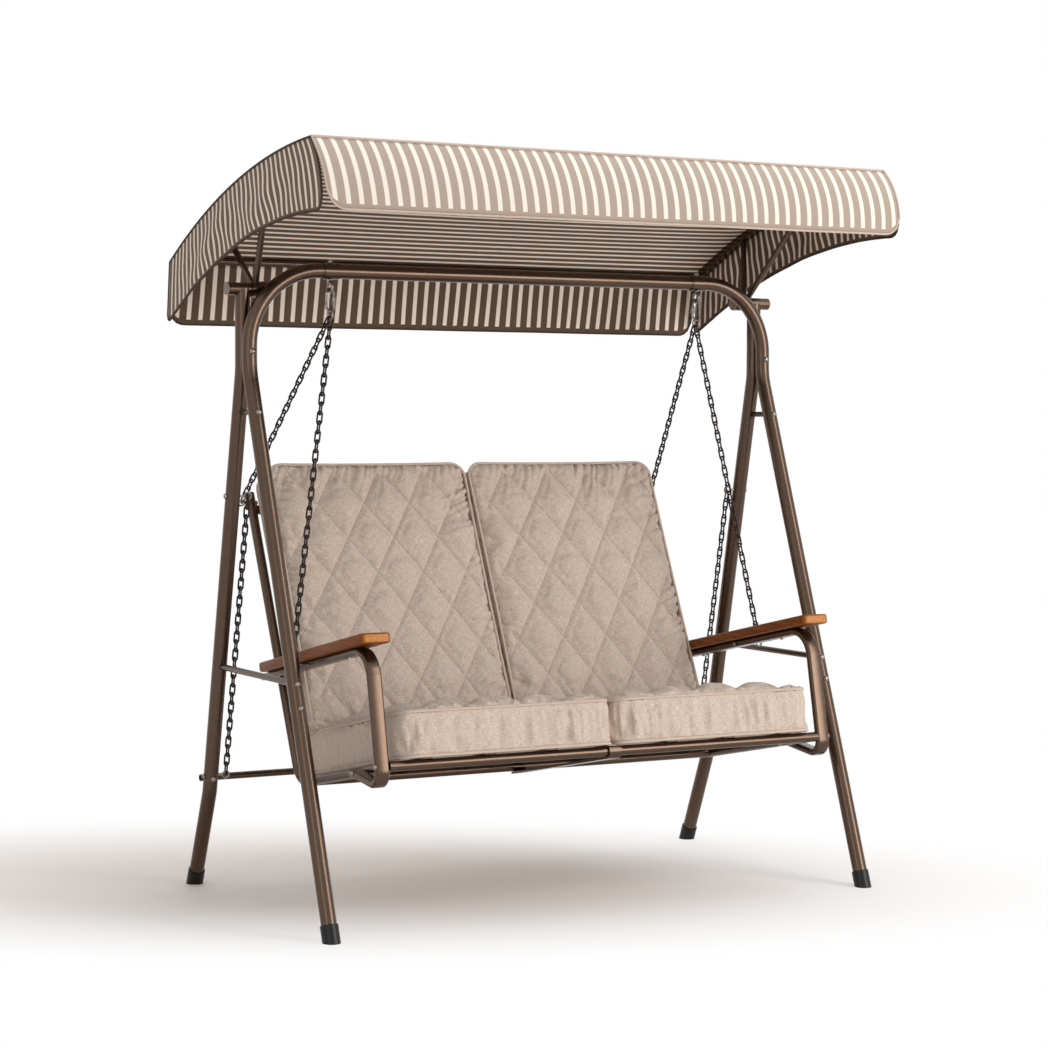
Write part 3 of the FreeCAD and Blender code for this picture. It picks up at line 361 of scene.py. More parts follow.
def heather_tape(name, dark, middle_tone, light):
    """Heathered polyester tape: dull, with mixed yarns drawn coarse enough to show."""
    stops = [(0.33, dark), (0.5, middle_tone), (0.67, light)]
    return mottled(name, {"IOR": 1.45}, (2.2, 5.0, 0.7), stops, (0.85, 0.98), 0.35, 0.7)


def oiled_hardwood():
    """Oiled orange-brown hardwood: long grain, darker pores, painted light on paler end faces and a soft
    sheen.
    """
    made, tree, surface = material("oiled_hardwood", {"IOR": 1.45, "Specular IOR Level": 0.3})
    grain = speckle(tree, 4.5, 6.0, 0.62, (1, 30, 1))
    pores = speckle(tree, 1.6, 3.0, 0.5, (1, 26, 1))
    stops = [(0.28, "#5c2d05"), (0.45, "#793e09"), (0.6, "#8d4d10"), (0.78, "#a15e19")]
    figure = add(tree, "ValToRGB", {"stops": stops}, {"Fac": grain})
    pore_mask = add(tree, "ValToRGB", {"stops": [(0.34, "#5a2c10"), (0.46, "#ffffff")]}, {"Fac": pores})
    long_grain = add(
        tree, "Mix", {"data_type": "RGBA", "blend_type": "MULTIPLY", "Factor": 0.35},
        {6: figure, 7: pore_mask},
    )
    facing = add(tree, "TexCoord")
    axes = add(tree, "SeparateXYZ", links={"Vector": facing.outputs["Normal"]})
    lengthways = add(tree, "Math", {"operation": "ABSOLUTE"}, {0: axes.outputs["Y"]})
    # Painted light: the arm's end faces, those facing along Y, get a paler colour for the light that falls
    # on them.
    lit_end_share = add(tree, "MapRange", {"From Min": 0.75, "From Max": 0.95}, {"Value": lengthways})
    painted_end_light = add(tree, "ValToRGB", {"stops": [(0.3, "#a5642a"), (0.7, "#c98a45")]}, {"Fac": grain})
    colour = add(
        tree, "Mix", {"data_type": "RGBA"}, {0: lit_end_share, 6: long_grain.outputs[2], 7: painted_end_light}
    )
    finish(tree, surface, colour.outputs[2], grain, (0.34, 0.52), 0.15, height=pores)
    return made


def yarns(tree, sizes_mm):
    """Streaks of mixed yarn on the weave map, drawn far coarser than real yarn so that they show."""
    cloth_map = add(tree, "UVMap", {"uv_map": "weave"})
    scale = tuple(1 / (size * MM) for size in sizes_mm)
    sized = add(tree, "Mapping", {"Scale": scale}, {"Vector": cloth_map})
    return add(tree, "TexNoise", {"Scale": 1.0, "Detail": 3.0, "Roughness": 0.6}, {"Vector": sized})


def sewn_line(tree, axes, sense):
    """1 along one set of the quilting's diagonal lines and 0 away from them, on the quilt map."""
    slanted = add(
        tree, "Math", {"operation": "MULTIPLY_ADD", 1: sense * DIAMOND_W / DIAMOND_H},
        {0: axes.outputs["Y"], 2: axes.outputs["X"]},
    )
    turn = add(tree, "Math", {"operation": "MULTIPLY", 1: 2 * math.pi / DIAMOND_W}, {0: slanted})
    wave = add(tree, "Math", {"operation": "COSINE"}, {0: turn})
    edge = -math.cos(2 * math.pi * STITCH_HALF_W / DIAMOND_W)
    return add(tree, "MapRange", {"From Min": edge, "From Max": -1.0}, {"Value": wave})


def quilted_weave():
    """Heathered polyester weave, quilted: dull, with mixed yarns and sunken sewn lines, darkened by painted
    shade.
    """
    shader = {"IOR": 1.45, "Sheen Weight": 0.12, "Sheen Roughness": 0.5}
    made, tree, surface = material("quilted_heather_weave", shader)
    warp = yarns(tree, (14.0, 1.8, 1.0))
    weft = yarns(tree, (1.8, 14.0, 1.0))
    woven = add(tree, "Math", {"operation": "ADD"}, {0: warp, 1: weft})
    even = add(tree, "Math", {"operation": "MULTIPLY", 1: 0.5}, {0: woven})
    stops = [(0.36, "#ad9c8f"), (0.5, "#c7b5a6"), (0.64, "#ddcec1")]
    shade = add(tree, "ValToRGB", {"stops": stops}, {"Fac": even})
    quilt_map = add(tree, "UVMap", {"uv_map": "quilt"})
    axes = add(tree, "SeparateXYZ", links={"Vector": quilt_map})
    both_ways = {0: sewn_line(tree, axes, 1), 1: sewn_line(tree, axes, -1)}
    lines = add(tree, "Math", {"operation": "MAXIMUM"}, both_ways)
    # Painted shade: the sewn grooves are darkened in colour towards a deeper brown.
    painted_seam_shade = add(tree, "Math", {"operation": "MULTIPLY", 1: 0.16}, {0: lines})
    colour = add(tree, "Mix", {"data_type": "RGBA", 7: linear("#8d7a6c")}, {0: painted_seam_shade, 6: shade})
    height = add(tree, "Math", {"operation": "MULTIPLY_ADD", 1: -4.0}, {0: lines, 2: woven})
    finish(tree, surface, colour.outputs[2], woven, (0.8, 1.0), 0.35, 0.8, height)
    return made


def awning_cloth(name, ground, cream, shade):
    """Awning cloth: a woven stripe per unit of the cloth map, a plain hem, yarns coarse enough to show."""
    made, tree, surface = material(name, {"IOR": 1.45, "Sheen Weight": 0.08})
    cloth_map = add(tree, "UVMap", {"uv_map": "cloth"})
    axes = add(tree, "SeparateXYZ", links={"Vector": cloth_map})
    turn = add(tree, "Math", {"operation": "MULTIPLY", 1: 2 * math.pi}, {0: axes.outputs["X"]})
    wave = add(tree, "Math", {"operation": "COSINE"}, {0: turn})
    edge = math.cos(math.pi * CREAM_SHARE)
    blur = {"From Min": edge - STRIPE_BLUR, "From Max": edge + STRIPE_BLUR}
    stripe = add(tree, "MapRange", blur, {"Value": wave})
    band = add(tree, "Math", {"operation": "GREATER_THAN", 1: BINDING_W}, {0: axes.outputs["Y"]})
    shown = add(tree, "Math", {"operation": "MULTIPLY"}, {0: stripe, 1: band})
    yarn = speckle(tree, 2.0, 4.0, 0.65)
    ground_mix = add(tree, "ValToRGB", {"stops": [(0.3, shade), (0.7, ground)]}, {"Fac": yarn})
    colour = add(tree, "Mix", {"data_type": "RGBA", 7: linear(cream)}, {0: shown, 6: ground_mix})
    finish(tree, surface, colour.outputs[2], yarn, (0.82, 0.95), 0.25, 0.6)
    return made


# Bronze powder coat on steel tube: dark and satin, with a faint orange-peel surface.
# Its metallic fleck is drawn coarser than the real one so that it shows.
BRONZE = mottled(
    "bronze_powder_coat", {"Metallic": 0.9}, (1.6, 4.0),
    [(0.3, "#4e3e32"), (0.52, "#58473b"), (0.75, "#655347")], (0.23, 0.28), 0.02, relief=(4.0, 2.0),
)
# Blackened chain steel: dark, and worn bright in patches where links rub
CHAIN_STEEL = mottled(
    "blackened_chain_steel", {"Metallic": 0.85}, (9.0, 5.0, 0.6),
    [(0.35, "#241e1a"), (0.6, "#3a322c"), (0.8, "#6b5f55")], (0.32, 0.55),
)
# Zinc plate on bolts and hooks: pale grey, with the mottled dulling of outdoor hardware
ZINC = mottled(
    "bright_zinc_plate", {"Metallic": 1.0}, (5.0, 4.0),
    [(0.3, "#6f6963"), (0.55, "#948d86"), (0.8, "#bab4ad")], (0.25, 0.45),
)
BLACK_CAP = moulded_plastic("black_moulded_cap", "#080807", "#11100f", (0.3, 0.42))
GREY_CAP = moulded_plastic("grey_moulded_cap", "#7d6d62", "#94857a", (0.5, 0.7))
HARDWOOD = oiled_hardwood()
CUSHION_CLOTH = quilted_weave()
PIPING_CLOTH = heather_tape("cushion_piping_weave", "#ae9d8f", "#c8b5a6", "#dac9bb")
CANOPY_OUT = awning_cloth("awning_cloth_outside", "#b3a294", "#eae1d4", "#a19083")
CANOPY_SIDE = awning_cloth("awning_cloth_brown_side", "#786554", "#f6e6d6", "#61503c")
CANOPY_IN = awning_cloth("awning_cloth_inside", "#645141", "#f4e7d8", "#524131")
BINDING = heather_tape("dark_edge_binding", "#2f251e", "#42362d", "#54463b")
PALE_BINDING = heather_tape("pale_edge_binding", "#b5a394", "#c4b2a3", "#d0bfb1")
FINISHES = {
    "bronze_paint": BRONZE,
    "black_steel": BRONZE,
    "black_chain": CHAIN_STEEL,
    "zinc": ZINC,
    "black_plastic": BLACK_CAP,
    "grey_plastic": GREY_CAP,
    "teak": HARDWOOD,
    "cushion_fabric": CUSHION_CLOTH,
    "canopy_fabric": CANOPY_OUT,
}


# Making pieces
def piece(name, bm, materials, body):
    """A smooth object at the origin from a bmesh, with its materials, riding on a body."""
    mesh = bpy.data.meshes.new(name)
    bm.to_mesh(mesh)
    bm.free()
    for entry in materials:
        mesh.materials.append(entry)
    for polygon in mesh.polygons:
        polygon.use_smooth = True
    made = bpy.data.objects.new(name, mesh)
    bpy.context.collection.objects.link(made)
    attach(made, body)
    return made


def crisp(made):
    """Keeps the sharp edges of a smooth-shaded piece crisp."""
    bm = bmesh.new()
    bm.from_mesh(made.data)
    for edge in bm.edges:
        edge.smooth = edge.calc_face_angle(math.pi) < math.radians(CRISP_ANGLE)
    bm.to_mesh(made.data)
    bm.free()


def islands(node):
    """The corners of each separate solid in a CAD node, in a steady order."""
    bm = bmesh.new()
    bm.from_mesh(frame["nodes"][node].data)
    bmesh.ops.remove_doubles(bm, verts=bm.verts, dist=1e-6)
    groups = []
    for start in bm.verts:
        if start.tag:
            continue
        start.tag = True
        group = [start]
        for vert in group:
            for edge in vert.link_edges:
                other = edge.other_vert(vert)
                if not other.tag:
                    other.tag = True
                    group.append(other)
        groups.append([vert.co.copy() for vert in group])
    bm.free()
    return groups


def middle(points):
    """The middle of the box round some points."""
    low = Vector([min(point[axis] for point in points) for axis in range(3)])
    high = Vector([max(point[axis] for point in points) for axis in range(3)])
    return (low + high) / 2


def wire_mesh(points, radius, cyclic, sides=2):
    """A round wire along points, as a mesh."""
    curve = bpy.data.curves.new("wire", "CURVE")
    curve.dimensions = "3D"
    curve.bevel_depth = radius
    curve.bevel_resolution = sides
    curve.use_fill_caps = True
    spline = curve.splines.new("POLY")
    spline.points.add(len(points) - 1)
    for target, point in zip(spline.points, points):
        target.co = (*point, 1)
    spline.use_cyclic_u = cyclic
    holder = bpy.data.objects.new("wire", curve)
    bpy.context.collection.objects.link(holder)
    bpy.context.view_layer.update()
    mesh = bpy.data.meshes.new_from_object(holder.evaluated_get(bpy.context.evaluated_depsgraph_get()))
    bpy.data.objects.remove(holder)
    bpy.data.curves.remove(curve)
    return mesh


def axis_frame(centre, along, across):
    """A matrix that puts local Z along one way and local X across another, at a centre."""
    z = along.normalized()
    x = (across - z * across.dot(z)).normalized()
    y = z.cross(x)
    return Matrix.Translation(centre) @ Matrix((x, y, z)).transposed().to_4x4()


def add_mesh(bm, mesh, matrix):
    """Adds a moved copy of a mesh to a bmesh."""
    copy = mesh.copy()
    copy.transform(matrix)
    bm.from_mesh(copy)
    bpy.data.meshes.remove(copy)


def rounded(bm, geom, offset, steps, affect="EDGES"):
    """Rounds edges or corners over."""
    bmesh.ops.bevel(
        bm, geom=geom, offset=offset, segments=steps, profile=0.5, affect=affect, material=-1
    )


def rims_of(bm):
    """The edges round the flat top and bottom of an upright block."""
    level = [edge for edge in bm.edges if abs(edge.verts[0].co.z - edge.verts[1].co.z) < 1e-6]
    return [edge for edge in level if len({round(face.normal.z) for face in edge.link_faces}) > 1]


def rounded_block(width, length, thick, corner, corner_steps, round_over, round_steps):
    """A block on z = 0 with round upright corners and rounded rims."""
    bm = bmesh.new()
    bmesh.ops.create_cube(bm, size=1.0)
    bmesh.ops.scale(bm, vec=(width, length, thick), verts=bm.verts)
    bmesh.ops.translate(bm, vec=(0, 0, thick / 2), verts=bm.verts)
    uprights = [edge for edge in bm.edges if abs(edge.verts[0].co.z - edge.verts[1].co.z) > thick / 2]
    rounded(bm, uprights, corner, corner_steps)
    rounded(bm, rims_of(bm), round_over, round_steps)
    return bm


# Canopy cloth
def roof_middle():
    """The middle of the roof's arc."""
    chord = ROOF_FRONT - ROOF_REAR
    normal = Vector((0, chord.z, -chord.y)).normalized()
    drop = math.sqrt(ROOF_R ** 2 - (chord.length / 2) ** 2)
    return (ROOF_FRONT + ROOF_REAR) / 2 - normal * drop


ROOF_C = roof_middle()
VALANCE_C = VALANCE_LOW + Vector((0, VALANCE_R, 0))
ROOF_REAR_ANGLE = math.asin((ROOF_REAR.y - ROOF_C.y) / ROOF_R)
ROOF_FRONT_ANGLE = math.asin((ROOF_FRONT.y - ROOF_C.y) / ROOF_R)
ROOF_LENGTH = ROOF_R * (ROOF_REAR_ANGLE - ROOF_FRONT_ANGLE)
VALANCE_TOP_ANGLE = math.atan2(ROOF_FRONT.z - VALANCE_C.z, VALANCE_C.y - ROOF_FRONT.y)
VALANCE_LENGTH = VALANCE_R * VALANCE_TOP_ANGLE
SHEET_LENGTH = ROOF_LENGTH + VALANCE_LENGTH
SEAM_SHARE = ROOF_LENGTH / SHEET_LENGTH


def on_roof(along, depth=0.0):
    """The point this far along the roof's arc from its rear edge, this far below its outer face."""
    angle = ROOF_REAR_ANGLE - along / ROOF_R
    radius = ROOF_R - depth
    return ROOF_C + Vector((0, radius * math.sin(angle), radius * math.cos(angle)))


def on_front_valance(down, depth=0.0):
    """The point this far down the front valance from the roof's front edge."""
    angle = VALANCE_TOP_ANGLE - down / VALANCE_R
    radius = VALANCE_R - depth
    return VALANCE_C + Vector((0, -radius * math.cos(angle), radius * math.sin(angle)))


def denser_ends(share):
    """Moves even shares from 0 to 1 closer together towards both ends."""
    return (1 - END_CROWDING) * share + END_CROWDING * (0.5 - 0.5 * math.cos(math.pi * share))


def corner_lift(distance, radius):
    """How far a rounded corner lifts a lower edge at this distance from its end."""
    if distance >= radius:
        return 0.0
    return radius - math.sqrt(max(radius ** 2 - (radius - distance) ** 2, 0))


def within(share):
    """A share held between 0 and 1."""
    return min(max(share, 0), 1)


def cloth_sheet(name, grid, place, cloth_uv, node, outside):
    """A sheet of canopy cloth from a grid, placed and mapped by functions of its two shares from 0 to 1."""
    bm = bmesh.new()
    bmesh.ops.create_grid(bm, x_segments=grid[0], y_segments=grid[1], size=0.5)
    layer = bm.loops.layers.uv.new("cloth")
    shares = {vert: (vert.co.x + 0.5, vert.co.y + 0.5) for vert in bm.verts}
    for face in bm.faces:
        centre = sum(shares[vert][1] for vert in face.verts) / len(face.verts)
        for loop in face.loops:
            across, down = shares[loop.vert]
            loop[layer].uv = cloth_uv(across, down, centre)
    for vert, (across, down) in shares.items():
        vert.co = place(across, down)
    bmesh.ops.recalc_face_normals(bm, faces=bm.faces)
    outward = sum((face.normal * face.calc_area() for face in bm.faces), Vector())
    from_middle = sum((vert.co for vert in bm.verts), Vector()) / len(bm.verts) - CANOPY_MIDDLE
    if outward.dot(from_middle) < 0:
        bmesh.ops.reverse_faces(bm, faces=bm.faces)
    made = piece(name, bm, [outside, CANOPY_IN, PALE_BINDING], "canopy")
    thick = made.modifiers.new("cloth thickness", "SOLIDIFY")
    thick.thickness = CLOTH_T
    thick.offset = -1
    thick.material_offset = 1
    thick.material_offset_rim = 2
    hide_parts(node)


def roof_run(across, down):
    """The place across the width, and the cloth's run from the roof's rear edge over the front valance."""
    x = (2 * denser_ends(across) - 1) * CANOPY_HALF
    run = down * SHEET_LENGTH
    if run > ROOF_LENGTH:
        lift = corner_lift(CANOPY_HALF - abs(x), VALANCE_CORNER_R)
        run = ROOF_LENGTH + (run - ROOF_LENGTH) * (1 - lift / VALANCE_LENGTH)
    return x, run


def roof_place(across, down):
    """The roof and front valance in one sheet, from the rear edge to the valance's hem."""
    x, run = roof_run(across, down)
    if run <= ROOF_LENGTH:
        span = within((run - RAIL_INSET) / (ROOF_LENGTH - 2 * RAIL_INSET))
        width = within((x + CANOPY_HALF - RAIL_INSET) / (2 * CANOPY_HALF - 2 * RAIL_INSET))
        sag = ROOF_SAG * math.sin(math.pi * span) * math.sin(math.pi * width) ** 0.5
        point = on_roof(run, sag)
    else:
        fall = run - ROOF_LENGTH
        hang = (fall / VALANCE_LENGTH) ** 2
        edge = (x / CANOPY_HALF) ** 8
        wave = VALANCE_WAVE * math.sin(VALANCE_WAVE_TURN * x + VALANCE_WAVE_START) * (1 - edge)
        point = on_front_valance(fall, hang * (VALANCE_HANG + wave))
        x *= 1 - VALANCE_INSET / CANOPY_HALF * hang
    return Vector((x, point.y, point.z))


def roof_uv(across, down, centre):
    """Stripes across the roof and down the front valance, and the distance to the valance's hem."""
    x, run = roof_run(across, down)
    if centre * SHEET_LENGTH < ROOF_LENGTH:
        return (run / ROOF_STRIPE_PITCH, 1.0)
    hem = (1 - down) * SHEET_LENGTH
    side_hem = CANOPY_HALF - abs(x) + BINDING_W * FRONT_END_HEM
    return (x / STRIPE_PITCH, min(hem, side_hem))


def side_low_point(share):
    """The lower edge of a side valance, from its rear corner to its front corner."""
    middle_y = (VALANCE_LOW.y + REAR_LOW.y) / 2
    top_angle = math.asin((middle_y - ROOF_C.y) / ROOF_R)
    low_middle = Vector((0, middle_y, ROOF_C.z + ROOF_R * math.cos(top_angle) - SIDE_DROP))
    rear = REAR_LOW - Vector((0, REAR_SLIT, 0))
    front = VALANCE_LOW + SIDE_FRONT_SLIT
    near = (1 - share) * (1 - 2 * share)
    half = 4 * share * (1 - share)
    far = share * (2 * share - 1)
    return rear * near + low_middle * half + front * far


def side_place(side):
    """Places a side valance: shares from its rear edge to its front edge, and from the roof to its hem."""
    def place(across, down):
        along = denser_ends(across)
        top = on_roof(along * ROOF_LENGTH)
        low = side_low_point(along)
        lift = corner_lift(along * ROOF_LENGTH, SIDE_REAR_CORNER_R)
        lift += corner_lift((1 - along) * ROOF_LENGTH, SIDE_FRONT_CORNER_R)
        share = down * (1 - lift / (low - top).length)
        straight = top.lerp(low, share)
        front_line = ROOF_FRONT.lerp(VALANCE_LOW, share)
        bow = (on_front_valance(share * VALANCE_LENGTH) - front_line) * along ** 7
        fold = math.sin(19.0 * along + 5.0 * share + side) + 0.6 * math.sin(43.0 * along - 7.0 * share)
        loose = 4 * along * (1 - along) * math.sin(math.pi * share * 0.8) ** 2
        x = side * (CANOPY_HALF + SIDE_STANDOFF + SIDE_FOLD * (SIDE_FULLNESS + fold) * loose)
        wander = SIDE_FOLD * math.sin(31.0 * along + 9.0 * share) * loose
        return Vector((x, straight.y + bow.y + wander, straight.z + bow.z))

    return place


def side_uv(across, down, centre):
    """Stripes down a side valance, and the distance to its hem."""
    along = denser_ends(across)
    drop = (side_low_point(along) - on_roof(along * ROOF_LENGTH)).length
    return (along * ROOF_LENGTH / ROOF_STRIPE_PITCH, (1 - down) * drop + BINDING_W * SIDE_HEM)


def rear_place(across, down):
    """Places the rear valance, from the roof's rear edge to its hem."""
    half = CANOPY_HALF - REAR_SLIT
    x = (2 * denser_ends(across) - 1) * half
    top = ROOF_REAR - REAR_TOP_INSET
    fall = (REAR_LOW - top) * down
    fall *= 1 - corner_lift(half - abs(x), REAR_CORNER_R) / (REAR_LOW - top).length
    ripple = REAR_RIPPLE * down ** 2 * math.sin(REAR_RIPPLE_TURN * x + REAR_RIPPLE_START)
    return Vector((x, top.y + fall.y + ripple, top.z + fall.z))


def rear_uv(across, down, centre):
    """Stripes down the rear valance, and the distance to its hem."""
    return ((2 * denser_ends(across) - 1) * CANOPY_HALF / STRIPE_PITCH, (1 - down) * REAR_DROP)


def edging(name, points, radius, tape):
    """A sewn edge cord along the canopy cloth."""
    bm = bmesh.new()
    bm.from_mesh(wire_mesh(points, radius, False))
    made = piece(name, bm, [tape], "canopy")


cloth_sheet(
    "canopy_roof_cloth", ROOF_GRID, roof_place, roof_uv, "canopy_roof", CANOPY_OUT,
)
for name, side in SIDES.items():
    cloth_sheet(
        "canopy_side_cloth_" + name, SIDE_GRID, side_place(side), side_uv, "canopy_side_valance_" + name,
        CANOPY_SIDE,
    )
cloth_sheet(
    "canopy_rear_cloth", REAR_GRID, rear_place, rear_uv, "canopy_rear_valance", CANOPY_SIDE,
)

steps = [step / HEM_STEPS for step in range(HEM_STEPS + 1)]
falls = [SEAM_SHARE + (1 - SEAM_SHARE) * step / VALANCE_HEM_STEPS for step in range(VALANCE_HEM_STEPS)]
valance_edge = [roof_place(0.0, share) for share in falls]
valance_edge += [roof_place(share, 1.0) for share in steps]
valance_edge += [roof_place(1.0, share) for share in reversed(falls)]
edging("front_valance_hem", valance_edge, HEM_R, PALE_BINDING)
edging("front_seam_piping", [roof_place(share, SEAM_SHARE) for share in steps], SEAM_CORD_R, PALE_BINDING)
edging("rear_valance_hem", [rear_place(share, 1.0) for share in steps], REAR_HEM_R, BINDING)
for name, side in SIDES.items():
    place = side_place(side)
    round_edge = [place(0.0, share) for share in steps]
    round_edge += [place(share, 1.0) for share in steps[1:]]
    round_edge += [place(1.0, 1 - share) for share in steps[1:]]
    slit = [rear_place((1 + side) / 2, share) for share in steps]
    edging("side_valance_hem_" + name, round_edge, HEM_R, BINDING)
    edging("side_seam_piping_" + name, [place(share, 0.0) for share in steps], HEM_R, BINDING)
    edging("rear_slit_binding_" + name, slit, HEM_R, BINDING)


# Cushions
def bench_matrix(lean):
    """The bench's own frame, with the seat plane level, leaning back by an angle."""
    return Matrix.Translation(SEAT_ORIGIN) @ Matrix.Rotation(math.radians(-SEAT_TILT - lean), 4, "X")


def drawn_in(point, width, length, edge):
    """Pulls a cushion's sides in between its corners, least along its foot."""
    across = point.x / (width / 2)
    along = point.y / (length / 2)
    draw = PAD_DRAW * (LOW_DRAW + (1 - LOW_DRAW) * min(1, point.z / edge))
    x = point.x - across * draw * max(0, 1 - along ** 2)
    y = point.y - along * draw * max(0, 1 - across ** 2)
    return Vector((x, y, point.z))


def pressed(point, length):
    """Lowers a seat cushion's point under the back cushion that stands on its rear."""
    lean = math.radians(BACK_LEAN)
    y = point.y - length / 2 + SEAT_PAD[1]
    limit = (BACK_PAD[0] - PRESS_GAP - y * math.sin(lean)) / math.cos(lean) - PAD_GAP
    share = min(1, max(0, (y - PRESS_START) / PRESS_RAMP))
    share = share ** 2 * (3 - 2 * share)
    drop = max(0, point.z - limit) * share
    return point - Vector((0, 0, drop))


def sewn_distance(x, y, shift):
    """The distance to the nearest of the two sets of sewn diagonal lines."""
    slope = DIAMOND_W / DIAMOND_H
    squeeze = 1 / math.sqrt(1 + slope ** 2)
    nearest = []
    for sense in (1, -1):
        offset = (x - shift[0] + sense * slope * (y - shift[1])) / DIAMOND_W - 0.5
        nearest.append(abs(offset - round(offset)) * DIAMOND_W * squeeze)
    return min(nearest)


def cover_blank(name, length, edge):
    """A cushion's cover before it is filled: a rounded block, remeshed evenly."""
    bm = rounded_block(CUSHION_W - COVER_INSET, length - COVER_INSET, edge, PAD_CORNER, 4, COVER_ROUND, 2)
    made = piece(name, bm, [CUSHION_CLOTH], "bench")
    made.data.remesh_voxel_size = VOXEL
    bpy.context.view_layer.objects.active = made
    bpy.ops.object.select_all(action="DESELECT")
    made.select_set(True)
    bpy.ops.object.voxel_remesh()
    return made


def crowned(made, length, edge, crown, shift):
    """Raises a cover's crown, draws in its sides, and gives the points that its seams and quilting hold."""
    half_w = CUSHION_W / 2
    half_l = length / 2
    pinned = []
    for vert in made.data.vertices:
        x, y, z = vert.co
        rim = min(half_w - abs(x), half_l - abs(y))
        if z > edge * CROWN_FROM and rim > CROWN_RIM:
            rise = max(1 - (x / half_w) ** 2, 0) * max(1 - (y / half_l) ** 2, 0)
            vert.co.z += crown * rise ** CROWN_POWER
            if rim > SEWN_RIM and sewn_distance(x, y, shift) < VOXEL * SEWN_REACH:
                pinned.append(vert.index)
                vert.co.z -= SEWN_DIP
        if z < FOOT_PIN or (rim < RIM_PIN[0] and z > edge - RIM_PIN[1]):
            pinned.append(vert.index)
        vert.co = drawn_in(vert.co, CUSHION_W, length, edge)
    return pinned


def inflated(made, pinned):
    """Fills a cover by cloth simulation under pressure, then limits how far a point has moved."""
    rest = [vert.co.copy() for vert in made.data.vertices]
    group = made.vertex_groups.new(name="sewn")
    group.add(pinned, 1.0, "REPLACE")
    cloth = made.modifiers.new("fill", "CLOTH")
    for key, value in FILLING.items():
        setattr(cloth.settings, key, value)
    cloth.settings.vertex_group_mass = "sewn"
    cloth.settings.effector_weights.gravity = 0
    cloth.point_cache.frame_start = 1
    cloth.point_cache.frame_end = FILL_FRAMES
    scene = bpy.context.scene
    for step in range(1, FILL_FRAMES + 1):
        scene.frame_set(step)
    settled = made.evaluated_get(bpy.context.evaluated_depsgraph_get()).to_mesh()
    moved = [vert.co.copy() for vert in settled.vertices]
    made.modifiers.remove(cloth)
    made.vertex_groups.remove(group)
    scene.frame_set(1)
    for vert, start, end in zip(made.data.vertices, rest, moved):
        step = end - start
        vert.co = start + Vector([max(-most, min(most, part)) for part, most in zip(step, FILL_CAP)])


def gathers(along, inward, seed):
    """Puckers that run in from a sewn edge: close together along it, in bunches, and dying out inwards."""
    place = ((along + GATHER_LEAN * inward) * GATHER_PER_M, inward * GATHER_DRIFT, seed)
    crossing = noise.noise(Vector(place))
    crease = max(0, 1 - GATHER_NARROW * abs(crossing)) ** GATHER_POWER
    crowd = noise.noise(Vector((along * BUNCH_PER_M, 0.0, seed + BUNCH_SEED)))
    bunch = BUNCH_LEAST + max(0, crowd + BUNCH_SHIFT) * BUNCH_MORE
    near = 1 - math.exp(-inward / GATHER_START)
    return crease * bunch * near * math.exp(-inward / GATHER_REACH)


def side_fold(point, edge, seed):
    """How far a cushion's side folds in or out at a point."""
    x, y, z = point
    fold = noise.noise(Vector((x * FOLD_PER_M + seed, y * FOLD_PER_M, z * FOLD_DRIFT)))
    fine_place = (x * FINE_FOLD_PER_M + seed, y * FINE_FOLD_PER_M, z * FINE_FOLD_DRIFT)
    fold += FINE_FOLD * noise.noise(Vector(fine_place))
    crowd = noise.noise(Vector((x * FOLD_BUNCH_PER_M + seed, y * FOLD_BUNCH_PER_M, 1.0)))
    bunch = FOLD_LEAST + max(0, crowd) * FOLD_MORE
    return FOLD_DEPTH * fold * bunch * math.sin(math.pi * min(1, z / edge))


def stitched(bm, length, edge, shift, seed, under_back):
    """Sinks the quilting, puckers the seams, folds the sides, and presses a seat's rear down."""
    half_w = CUSHION_W / 2
    half_l = length / 2
    for vert in bm.verts:
        x, y, z = vert.co
        if vert.normal.z > TOP_FACING and z > edge * TOP_FROM:
            rim = min(half_w - abs(x), half_l - abs(y))
            inside = min(1, max(0, rim - SEAM_FADE[0]) / SEAM_FADE[1])
            distance = sewn_distance(x, y, shift)
            line = math.exp(-((distance / SEAM_W) ** 2))
            valley = math.exp(-((distance / VALLEY_W) ** 2))
            vert.co.z -= (SEAM_DEPTH * line + VALLEY_DEPTH * valley) * inside
            edges = ((y, half_w - x), (y, half_w + x), (x, half_l - y), (x, half_l + y))
            for turn, (along, inward) in enumerate(edges):
                vert.co.z -= GATHER_DEPTH * gathers(along, max(inward, 0), seed + turn * EDGE_SEED)
        elif z > FOLD_FROM and abs(vert.normal.z) < SIDE_FACING:
            outward = Vector((vert.normal.x, vert.normal.y, 0)).normalized()
            vert.co += outward * side_fold((x, y, z), edge, seed)
        if under_back:
            vert.co = pressed(vert.co, length)


def cloth_maps(bm, shift):
    """Maps the weave along each face of a cover, and the quilting on its top."""
    weave = bm.loops.layers.uv.new("weave")
    quilt = bm.loops.layers.uv.new("quilt")
    for face in bm.faces:
        flat = abs(face.normal.z) > FLAT_FACING
        front = abs(face.normal.y) > abs(face.normal.x)
        quilted = face.normal.z > TOP_FACING
        for loop in face.loops:
            x, y, z = loop.vert.co
            if flat:
                loop[weave].uv = (x, y)
            else:
                loop[weave].uv = (x if front else y, z)
            loop[quilt].uv = (x - shift[0], y - shift[1]) if quilted else (0.0, 0.0)


